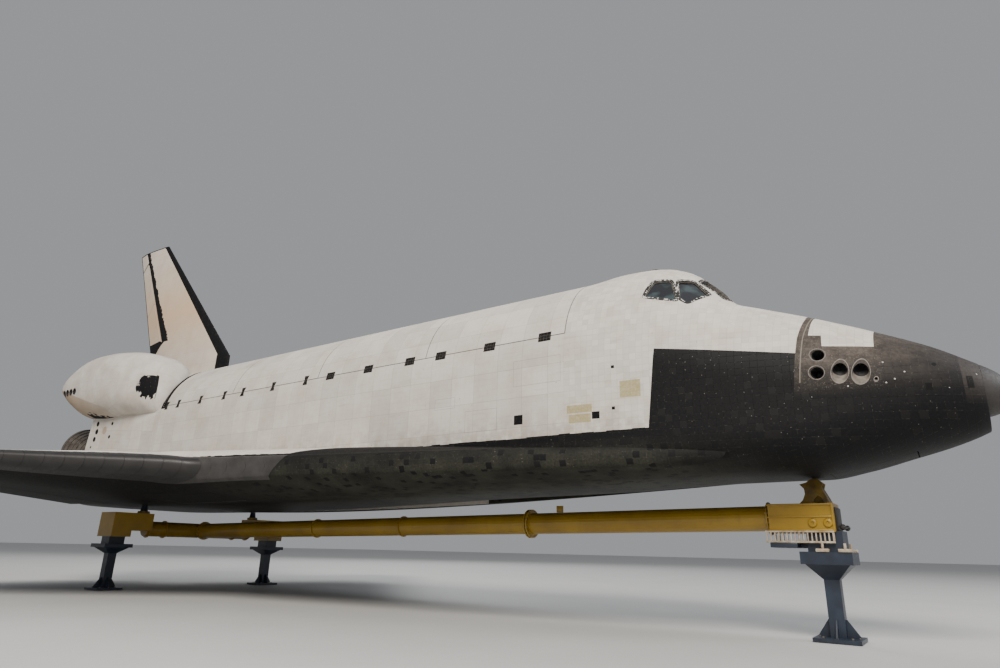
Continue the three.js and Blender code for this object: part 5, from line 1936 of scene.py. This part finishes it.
def bracket_plate(side):
    """Side plate of the forward bracket, with its ears and the arch in its front leg."""
    outline = (
        (402, 257.8), (398, 262), (396, 267), (396.5, 271.5), (400, 275.5), (394.5, 277), (391, 279.5),
        (385, 279.5), (381, 276), (382.5, 272), (379, 264), (376.5, 257.8), (380.5, 257.8), (383, 263.5),
        (386, 265.5), (388.5, 263), (389.5, 257.8),
    )
    rings = []
    for thick in (0, 1):
        lean = lambda height: 10.2 - (height - 258) * 0.2 + thick
        rings.append([place(station, side * lean(height), height) for station, height in outline])
    return round_edges(loft("bracket_plate", rings), 0.15)


def gusset(middle, turn):
    """Triangular web between a pier's column and its foot."""
    inner, outer, rise = PIER_COLUMN - 0.5, PIER_FOOT - 2, 14
    line = ((inner, 0), (outer, 0), (outer, 1), (PIER_COLUMN + 1, rise), (inner, rise))
    rings = [[Vector((out, thick, up - 0.4)) * INCH for out, up in line] for thick in (-0.6, 0.6)]
    made = loft("gusset", rings)
    made.data.transform(Matrix.Translation(middle) @ Matrix.Rotation(math.pi / 2 * turn, 4, "Z"))
    return made


class Stage(bpy.types.Operator):
    """Pale floor, soft light and the photograph's camera"""

    bl_idname = "orbiter.stage"
    bl_label = "Stage"

    def execute(self, context):
        reach, low = 450, -0.01
        points = [(-reach, -reach, low), (reach, -reach, low), (reach, reach, low), (-reach, reach, low)]
        floor = new_object("studio_floor", points, [(0, 1, 2, 3)])
        floor.data.materials[0] = finish("studio floor")
        world = bpy.data.worlds.new("studio")
        context.scene.world = world
        world.use_nodes = True
        sky = world.node_tree.nodes["Background"].inputs
        sky["Color"].default_value, sky["Strength"].default_value = (0.78, 0.80, 0.84, 1), 0.42
        for name, spot, size, power, tint in (
            ("key", (32, -48, 50), 28, 68000, (1, 0.94, 0.86)),
            ("fill", (52, 16, 32), 28, 12000, (0.92, 0.95, 1)),
            ("back", (-40, 44, 52), 36, 24000, (1, 1, 1)),
        ):
            light = bpy.data.lights.new(name, "AREA")
            light.size, light.energy, light.color = size, power, tint
            lamp = shown(bpy.data.objects.new(name, light))
            lamp.location = spot
            lamp.rotation_euler = (Vector((0, 0, 6)) - Vector(spot)).to_track_quat("-Z", "Y").to_euler()
        yaw, pitch, roll = (math.radians(CAMERA[k]) for k in ("yaw", "pitch", "roll"))
        ahead = Vector((math.cos(pitch) * math.cos(yaw), math.cos(pitch) * math.sin(yaw), math.sin(pitch)))
        right = ahead.cross(Vector((0, 0, 1))).normalized()
        up = right.cross(ahead)
        level, rise = math.cos(roll), math.sin(roll)
        right, up = right * level + up * rise, up * level - right * rise
        view = bpy.data.cameras.new("photo_camera")
        view.lens, view.sensor_width, view.clip_end = CAMERA["lens"], CAMERA["sensor"], 1000
        camera = shown(bpy.data.objects.new("photo_camera", view))
        turn = Matrix((right, up, -ahead)).transposed().to_4x4()
        camera.matrix_world = Matrix.Translation(CAMERA["place"]) @ turn
        context.scene.camera = camera
        return {"FINISHED"}


class OrbiterPanel(bpy.types.Panel):
    """Sidebar panel with the pieces of the orbiter"""

    bl_idname = "VIEW3D_PT_orbiter"
    bl_label = "Orbiter"
    bl_space_type = "VIEW_3D"
    bl_region_type = "UI"
    bl_category = "Orbiter"

    def draw(self, context):
        for group, members in (
            (context.scene.orbiter_colours, OrbiterColours),
            (context.scene.orbiter_sizes, OrbiterSizes),
        ):
            for name in members.__annotations__:
                self.layout.prop(group, name)
        for piece in PIECES:
            self.layout.operator(piece.bl_idname)


PIECES = (NoseAndCabin, PayloadBay, AftBody, Engines, Wings, FinAndRudder, Cradle, Carried, Stage)
SETTINGS = {"orbiter_colours": OrbiterColours, "orbiter_sizes": OrbiterSizes}


def register():
    for made in (*SETTINGS.values(), *PIECES, OrbiterPanel):
        bpy.utils.register_class(made)
    for name, group in SETTINGS.items():
        setattr(bpy.types.Scene, name, bpy.props.PointerProperty(type=group))


def unregister():
    for name in SETTINGS:
        delattr(bpy.types.Scene, name)
    for made in reversed((*SETTINGS.values(), *PIECES, OrbiterPanel)):
        bpy.utils.unregister_class(made)


def main():
    register()
    for piece in PIECES:
        group, call = piece.bl_idname.split(".")
        getattr(getattr(bpy.ops, group), call)()


if __name__ == "__main__":
    main()
